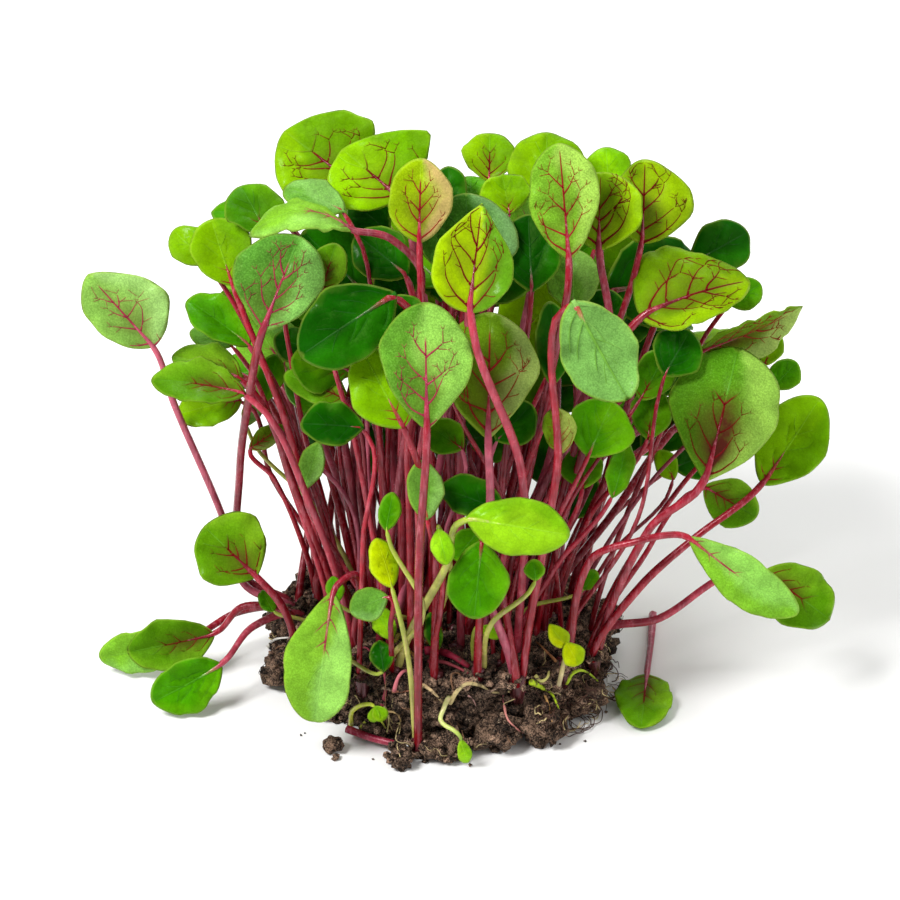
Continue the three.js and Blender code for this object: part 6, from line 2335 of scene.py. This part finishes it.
    def _add_clods(self, piece: Piece, lines: Sequence[Array], shake: random.Random) -> None:
        """Adds the clods at the foot of the block, each with crumbs on it."""
        for x, y, z, radius in CLODS:
            small = 0.8 if y < -28 else 0.92
            points, triangles = ball(vec(x, y, z), radius * small, 0.44, CLOD_FLAT, shake, 2)
            for line in lines:
                points = push_off(points, line, 1.1)
            points[:, 2] = np.maximum(points[:, 2], 0)
            piece.add(points, triangles, CLOD_TINT)
            for _ in range(26):
                spot = vec(x, y, z) + self._outward(shake) * radius * 0.92
                if spot[2] > 0.2 and all(self._gap(spot, line) > 1.6 for line in lines):
                    self._crumb(piece, spot, radius * shake.uniform(0.1, 0.26), 1, shake)

    def _add_grains(self, piece: Piece, lines: Sequence[Array], shake: random.Random) -> None:
        """Strews crumbs and grains over the block's top and flanks."""
        for count, low, high in ((self.crumbs, 0.45, 1.6), (self.grains, 0.18, 0.5)):
            for _ in range(count):
                radius = low + (high - low) * shake.random() ** 2.2
                middle = self._surface_spot(shake)
                if all(self._gap(middle, line) > radius + 0.9 for line in lines):
                    self._crumb(piece, middle, radius, 1 if radius > 0.8 else 0, shake)

    def _add_collars(self, piece: Piece, bed: Bed, shake: random.Random) -> None:
        """Heaps crumbs against the foot of each plant."""
        for crown in bed.crowns:
            for _ in range(12 if crown.leaves and not crown.flank else 0):
                angle = shake.uniform(0, 2 * math.pi)
                reach = shake.uniform(1.3, 3.0)
                middle = vec(crown.x + reach * math.cos(angle), crown.y + reach * math.sin(angle),
                             crown.top - 0.55 - 0.34 * reach + shake.uniform(-0.2, 0.2))
                self._crumb(piece, middle, shake.uniform(0.4, 1.0), 0, shake)

    def _add_stray(self, piece: Piece, shake: random.Random) -> None:
        """Adds the clods and crumbs that have rolled off onto the floor."""
        for px, py, radius in self.stray:
            middle = on_level(px, py, 0.17 * radius)
            self._crumb(piece, middle, self.stray_scale * radius, 2 if radius > 4 else 1, shake)
            for _ in range(round(3 * radius) if radius > 4 else 0):
                spot = middle + self._outward(shake) * 0.18 * radius
                self._crumb(piece, spot, shake.uniform(0.02, 0.05) * radius, 0, shake)

    @staticmethod
    def _outward(shake: random.Random) -> Array:
        """Draws a direction that points up a little more often than down."""
        return unit(vec(shake.gauss(0, 1), shake.gauss(0, 1), shake.gauss(0.2, 1)))

    @staticmethod
    def _gap(spot: Array, line: Array) -> float:
        """How far a place is from the points of a line."""
        return float(size(line - spot).min())

    def build(self, bed: Bed, lines: Sequence[Array], materials: Materials) -> BVHTree:
        """Builds the block and the loose clod.

        Args:
            bed: The plants in it.
            lines: The middle lines of the stalks that lie in the soil.
            materials: The soil's finish.

        Returns:
            The soil's surface in millimetres.
        """
        piece = Piece("soil_look")
        self.block(piece, lines)
        piece.build(materials, "soil", ["soil_block"])
        crumbs = Piece("soil_crumbs_look")
        self.add_crumbs(crumbs, bed, lines)
        crumbs.build(materials, "soil", [])
        loose = Piece("loose_clod_look")
        x, y, z, radius = LOOSE_CLOD
        points, triangles = ball(vec(x, y, z), radius * 0.97, 0.3, CLOD_FLAT, random.Random(CLOD_SEED), 2)
        points[:, 2] = np.maximum(points[:, 2], 0)
        loose.add(points, triangles, CLOD_TINT)
        loose.build(materials, "soil", ["loose_clod"])
        points = [Vector(p) for p in np.concatenate(piece.points + crumbs.points)]
        faces = np.concatenate(piece.triangles + [part + piece.count for part in crumbs.triangles])
        return BVHTree.FromPolygons(points, faces.tolist())


def on_level(px: float, py: float, z: float) -> Array:
    """The point that a pixel shows at a height over the floor."""
    line = sight_line(px, py)
    return EYE + line * ((z - EYE[2]) / line[2])


@dataclass(frozen=True)
class Strand:
    """A root or shoot that lies on the soil: its pixels, radius, colour and how high it arches."""

    pixels: Sequence[Pixel]
    radius: float
    tint: Colour
    arch: float = 0.0
    taper: float = 0.4


PALE_ROOT = srgb(206, 186, 132)
PINK_ROOT = srgb(190, 104, 112)
DARK_ROOT = srgb(70, 44, 32)
DIM_ROOT = srgb(74, 46, 34)
TAN_ROOT = srgb(150, 110, 80)
STRANDS = (
    Strand(((450, 704), (457, 694), (466, 688), (480, 690), (493, 696), (507, 694), (520, 694)),
           0.46, PALE_ROOT, 0.9),
    Strand(((423, 686), (432, 694), (445, 706)), 0.42, srgb(204, 176, 130), 0.5),
    Strand(((394, 692), (399, 682), (408, 677), (417, 684)), 0.42, PINK_ROOT, 1.4),
    Strand(((392, 692), (402, 693), (412, 692)), 0.36, srgb(150, 96, 74), 0.3),
    Strand(((382, 706), (386, 690), (383, 674), (372, 658), (365, 650), (357, 654)),
           0.4, srgb(170, 70, 84), 0.8, 0.25),
    Strand(((384, 671), (375, 662), (366, 674), (358, 690)), 0.2, srgb(190, 130, 110), 0.5, 0.3),
    Strand(((531, 683), (541, 691), (551, 697), (559, 710)), 0.62, srgb(178, 206, 30), 0.8, 0.2),
    Strand(((566, 684), (573, 677), (584, 675), (598, 682)), 0.5, srgb(170, 196, 40), 0.9, 0.3),
    Strand(((535, 676), (541, 683), (547, 680), (549, 672)), 0.4, srgb(196, 190, 110), 0.4, 0.5),
    Strand(((425, 652), (440, 655), (455, 661), (469, 668)), 0.84, srgb(134, 20, 48), 0.6, 0.6),
    Strand(((428, 662), (442, 664), (456, 669), (468, 674)), 0.46, srgb(150, 60, 70), 0.4, 0.5),
    Strand(((397, 651), (408, 653), (414, 658), (417, 668)), 0.4, srgb(170, 120, 60), 0.4, 0.5),
    Strand(((427, 644), (436, 637), (445, 630)), 0.42, srgb(176, 120, 60), 0.8, 0.5),
    Strand(((268, 646), (277, 641), (295, 638)), 0.36, srgb(232, 228, 220), 0.4, 0.3),
    Strand(((453, 690), (451, 681), (456, 676), (462, 680)), 0.18, TAN_ROOT, 0.8, 0.5),
    Strand(((506, 712), (503, 700), (508, 690), (519, 697), (526, 692)), 0.16, PINK_ROOT, 0.5, 0.4),
    Strand(((504, 706), (508, 722), (518, 732), (524, 734)), 0.26, srgb(200, 130, 120), 0.5, 0.3),
    Strand(((468, 696), (473, 702), (476, 707)), 0.2, srgb(220, 170, 160), 0.4, 0.4),
    Strand(((545, 696), (549, 710), (552, 722)), 0.3, srgb(198, 150, 90), 0.5, 0.4),
    Strand(((556, 662), (546, 655), (536, 642)), 0.3, srgb(160, 110, 70), 0.8, 0.5),
    Strand(((384, 705), (389, 722), (387, 733)), 0.3, srgb(206, 196, 130), 0.8, 0.5),
    Strand(((387, 712), (397, 716), (401, 722)), 0.26, srgb(180, 150, 100), 0.5, 0.5),
    Strand(((361, 728), (371, 722), (380, 725), (386, 729)), 0.34, srgb(190, 200, 70), 1.2, 0.4),
)


@dataclass
class Roots:
    """The roots, shoots and threads that lie on the soil and hang out of its flanks."""

    threads: int = 150
    tangles: Sequence[tuple[float, float, float, int]] = (
        (578, 716, 19, 22), (604, 688, 17, 20), (545, 716, 9, 7), (350, 700, 8, 6), (600, 664, 12, 10),
    )

    def _rest(self, surface: BVHTree, px: float, py: float, radius: float) -> Array:
        """The place that a pixel shows on the soil or on the floor, lifted by a radius."""
        way = Vector(unit(sight_line(px, py)))
        hit = surface.ray_cast(Vector(EYE), way)[0]
        if hit is None or hit.z < radius:
            return on_level(px, py, radius)
        return np.array(hit) - np.array(way) * radius * 0.6 + vec(0, 0, 0.4 * radius)

    def _laid(self, surface: BVHTree, strand: Strand) -> Array:
        """A strand's middle line, laid on the soil."""
        steps = [self._rest(surface, *pixel, strand.radius) for pixel in strand.pixels]
        leaving = unit(steps[1] - steps[0])
        arriving = unit(steps[-1] - steps[-2])
        path = smooth_path(steps, leaving, arriving, 5 * (len(steps) - 1))
        share = np.linspace(0, 1, len(path))
        path[:, 2] += strand.arch * np.sin(math.pi * share)
        path[:, 2] = np.maximum(path[:, 2], strand.radius)
        return path

    def _tangle(self, piece: Piece, surface: BVHTree, shake: random.Random,
                tangle: tuple[float, float, float, int]) -> None:
        """Adds thin roots that curl through each other near a pixel."""
        x, y, reach, count = tangle
        for _ in range(count):
            angle = shake.uniform(0, 2 * math.pi)
            radius = shake.uniform(0.08, 0.16)
            px = x + reach * 0.5 * math.cos(angle)
            py = y + reach * 0.5 * math.sin(angle)
            spots = []
            turn = shake.uniform(0.35, 0.75) * shake.choice((-1, 1))
            for _ in range(shake.randrange(6, 12)):
                spots.append(self._rest(surface, px, py, radius) + vec(0, 0, shake.uniform(0, 1.1)))
                angle += turn + shake.uniform(-0.25, 0.25)
                px += 0.3 * reach * math.cos(angle)
                py += 0.3 * reach * math.sin(angle) * 0.8
            self._add_line(piece, spots, radius, DIM_ROOT if shake.random() < 0.7 else PALE_ROOT)

    @staticmethod
    def _add_line(piece: Piece, spots: Sequence[Array], radius: float, tint: Colour) -> None:
        """Adds a smooth thin root through some places."""
        leaving = unit(spots[1] - spots[0] + 1e-6)
        arriving = unit(spots[-1] - spots[-2] + 1e-6)
        path = smooth_path(spots, leaving, arriving, 3 * (len(spots) - 1))
        path[:, 2] = np.maximum(path[:, 2], radius)
        piece.add_tube(path, radius * (1 - 0.5 * np.linspace(0, 1, len(path))), 5, tint)

    def _scatter(self, piece: Piece, surface: BVHTree, shake: random.Random) -> None:
        """Adds short threads all over the soil's top and flanks."""
        for _ in range(self.threads):
            angle = shake.uniform(0, 2 * math.pi)
            flank = shake.random() < 0.55
            height = shake.uniform(1, 12) if flank else 30
            start = vec(60 * math.cos(angle), 50 * math.sin(angle), height)
            aim = vec(0, 0, height) if flank else vec(0, 0, 0)
            if not flank:
                reach = math.sqrt(shake.random())
                start = vec(28 * reach * math.cos(angle), 22 * reach * math.sin(angle), 30)
                aim = start - vec(0, 0, 10)
            way = unit(aim - start)
            turn = shake.uniform(0, 2 * math.pi)
            radius = shake.uniform(0.06, 0.14)
            spots = []
            for _ in range(6):
                turn += shake.uniform(-0.7, 0.7)
                across = unit(cross(way, vec(0.1, 0.2, 1) if flank else vec(1, 0.1, 0)))
                over = cross(way, across)
                start = start + (across * math.cos(turn) + over * math.sin(turn)) * shake.uniform(0.7, 1.4)
                hit = surface.ray_cast(Vector(start), Vector(way))[0]
                if hit is None or hit.z < radius:
                    break
                spots.append(np.array(hit) - way * (radius + shake.uniform(0, 0.25)))
            if len(spots) > 3:
                self._add_line(piece, spots, radius, shake.choice((PALE_ROOT, DARK_ROOT, TAN_ROOT)))

    def build(self, surface: BVHTree, materials: Materials) -> None:
        """Builds the strands, tangles and threads.

        Args:
            surface: The soil's surface in millimetres.
            materials: The roots' finish.
        """
        piece = Piece("roots_look")
        shake = random.Random(ROOT_SEED)
        for strand in STRANDS:
            path = self._laid(surface, strand)
            share = np.linspace(0, 1, len(path))
            radii = strand.radius * (1 - (1 - strand.taper) * share) * (1 + 0.08 * np.sin(17 * share))
            piece.add_tube(path, radii, 9, strand.tint)
        for tangle in self.tangles:
            self._tangle(piece, surface, shake, tangle)
        self._scatter(piece, surface, shake)
        piece.build(materials, "soil", [])


@dataclass(frozen=True)
class Sprout:
    """A small leaf on a stalk of its own: pixels and depths of its stalk and its tip.

    second holds the base, tip and width of another leaf on the same stalk.
    """

    name: str
    look: Look
    stalk: Sequence[Mark]
    tip: Mark
    width: float
    foot: Colour
    neck: Colour
    cup: float = 0.0
    arch: float = 0.04
    facing: Mark = (0, 0, 0)
    second: tuple[Mark, Mark, float] | None = None


SPROUTS = (
    Sprout("pale_shoot", Look.BRIGHT, ((449, 697, -25.4), (444, 708, -28.2), (441, 721, -30),
                                       (456, 732, -32.5), (461, 739, -32.4)), (467, 763, -31.7), 2.8,
           srgb(206, 204, 140), srgb(150, 190, 40), cup=0.3),
    Sprout("yellow_sprout", Look.YELLOW, ((559, 684, -19.6), (564, 662, -20.2), (566, 646, -20.4)),
           (549, 624, -20.3), 3.8, srgb(210, 190, 150), srgb(186, 196, 60), cup=0.7,
           second=((566, 642, -20.6), (579, 665, -21.6), 4.6)),
    Sprout("lime_sprout", Look.BRIGHT, ((474, 662, -15.5), (473, 638, -16), (480, 627, -16.3)),
           (503, 636, -16.8), 2.8, srgb(176, 184, 80), srgb(160, 186, 50), cup=0.3),
    Sprout("yellow_arch", Look.BRIGHT, ((351, 724, -20.6), (352, 712, -23.4), (362, 705, -25),
                                        (374, 706, -25.8)), (385, 720, -26.6), 3.2,
           srgb(196, 204, 70), srgb(176, 196, 44), cup=0.5,
           second=((376, 707, -25.9), (372, 722, -26.4), 2.4)),
    Sprout("fallen_leaf", Look.DUSKY, ((653, 614, 18.8), (651, 642, 8.8), (647, 674, -2.6)),
           (641, 729, -20.4), 11.6, srgb(150, 44, 66), srgb(160, 60, 80), cup=0.05, arch=0.03,
           facing=(0, 0, 1)),
)
CUT_STALK = ((347, 729, -22.2), (372, 738, -24.9), (399, 745, -27.4))
CUT_RADIUS = 0.84


@dataclass
class Seedlings:
    """The small shoots round the block's front, the fallen leaf and the cut stalk."""

    skin: BladeSkin = field(default_factory=lambda: BladeSkin(spacing=0.8, along_veins=0.6, quilt=0.16))
    shoot_skin: StalkSkin = field(default_factory=lambda: StalkSkin(slenderness=0.85, sunk=0.3))

    @staticmethod
    def _path(stalk: Sequence[Array], arriving: Array) -> Array:
        """A smooth middle line through the points of a stalk."""
        return smooth_path(stalk, unit(stalk[1] - stalk[0]), arriving, 6 * (len(stalk) - 1))

    def lines(self) -> list[Array]:
        """The middle lines of the stalks that lie in or on the soil."""
        found = []
        for points in [sprout.stalk for sprout in SPROUTS[:-1]] + [CUT_STALK]:
            stalk = [seen(*point) for point in points]
            found.append(self._path(stalk, unit(stalk[-1] - stalk[-2])))
        return found

    def build(self, materials: Materials) -> None:
        """Builds each of them."""
        for sprout in SPROUTS:
            self._build_sprout(sprout, materials)
        stalk = [seen(*point) for point in CUT_STALK]
        path = self._path(stalk, unit(stalk[2] - stalk[1]))
        piece = Piece("cut_stalk_look")
        radii = CUT_RADIUS * (1 - 0.2 * np.linspace(0, 1, len(path)))
        piece.add_tube(path, radii, 12, srgb(140, 24, 52), 0.05)
        piece.build(materials[1:], "stalk", ["cut_stalk"])

    def _build_sprout(self, sprout: Sprout, materials: Materials) -> None:
        """Builds one small leaf on its stalk."""
        shake = random.Random(sprout.name)
        stalk = [seen(*point) for point in sprout.stalk]
        form = LeafForm(sprout.name, sprout.look, sprout.width, arch=sprout.arch, cup=sprout.cup)
        facing = vec(*sprout.facing) if any(sprout.facing) else TOWARD_EYE
        blade = shaped_blade(form, stalk[-1], seen(*sprout.tip), facing)
        piece = Piece(sprout.name + "_look")
        finish = FINISHES[sprout.look]
        tree = VeinTree(blade, finish, shake, sprout.width > 8)
        self.skin.add_to(piece, blade, finish, tree, shake)
        fallen = sprout.name == "fallen_leaf"
        skin = StalkSkin(sunk=0.0) if fallen else self.shoot_skin
        skin.add_to(piece, blade, self._path(stalk, blade.axis), (sprout.foot, sprout.neck, sprout.neck), 1)
        if sprout.second:
            base, tip, width = sprout.second
            form = LeafForm("second", sprout.look, width, cup=0.4)
            other = shaped_blade(form, seen(*base), seen(*tip), facing)
            self.skin.add_to(piece, other, finish, VeinTree(other, finish, shake, False), shake)
        piece.build(materials, "leaf" if fallen else "young_leaf", [sprout.name])


LIT_PLACE = Vector((0, 0, 0.05))


@dataclass
class Studio:
    """The floor, the lights and the camera."""

    lens: float = 140.0
    floor_size: float = 6.0
    world_light: float = 0.35
    lights: Sequence[tuple[str, Mark, float, float]] = (
        ("key", (-0.62, -0.42, 1.0), 0.4, 17.0),
        ("fill", (0.9, -0.4, 0.7), 0.8, 4.5),
        ("back", (0.15, 0.8, 0.95), 0.7, 8.0),
    )

    def build(self, floor_material: bpy.types.Material) -> None:
        """Sets everything up."""
        self._floor(floor_material)
        for light in self.lights:
            self._light(*light)
        world = bpy.data.worlds.new("studio")
        world.use_nodes = True
        background = world.node_tree.nodes["Background"]
        background.inputs["Color"].default_value = (1, 1, 1, 1)
        background.inputs["Strength"].default_value = self.world_light
        bpy.context.scene.world = world
        bpy.context.scene.view_settings.view_transform = "Standard"
        data = bpy.data.cameras.new("view")
        data.lens = self.lens
        data.sensor_width = 36.0
        data.clip_start = 0.05
        camera = put("view", data)
        camera.location = Vector(EYE * MM)
        camera.rotation_euler = (math.radians(90) - SIGHT_ELEVATION, 0, 0)
        bpy.context.scene.camera = camera

    def _floor(self, material: bpy.types.Material) -> None:
        """Lays the floor."""
        half = 0.5 * self.floor_size
        mesh = bpy.data.meshes.new("floor")
        corners = [(-half, -half, 0), (half, -half, 0), (half, half, 0), (-half, half, 0)]
        mesh.from_pydata(corners, [], [(0, 1, 2, 3)])
        mesh.materials.append(material)
        put("floor", mesh)

    @staticmethod
    def _light(name: str, place: Mark, across: float, power: float) -> None:
        """Hangs a soft light so wide across that shines on the clump."""
        data = bpy.data.lights.new(name, "AREA")
        data.size = across
        data.energy = power
        light = put(name, data)
        light.location = place
        light.rotation_euler = (LIT_PLACE - Vector(place)).to_track_quat("-Z", "Y").to_euler()


def write_sizes() -> None:
    """Brings the view layer up to date."""
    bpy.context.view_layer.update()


def main() -> None:
    """Builds the clump, its soil and the studio round them."""
    logging.basicConfig(level=logging.INFO, format="%(message)s")
    blade_and_stalk = (LeafSkinFinish().build(), StalkFinish().build())
    plants = Plants()
    bed = plants.grow()
    plants.build(bed, blade_and_stalk)
    seedlings = Seedlings()
    surface = Soil().build(bed, seedlings.lines(), (SoilFinish().build(),))
    Roots().build(surface, (ThreadFinish().build(),))
    seedlings.build(blade_and_stalk)
    Studio().build(FloorFinish().build())
    write_sizes()


if __name__ == "__main__":
    main()
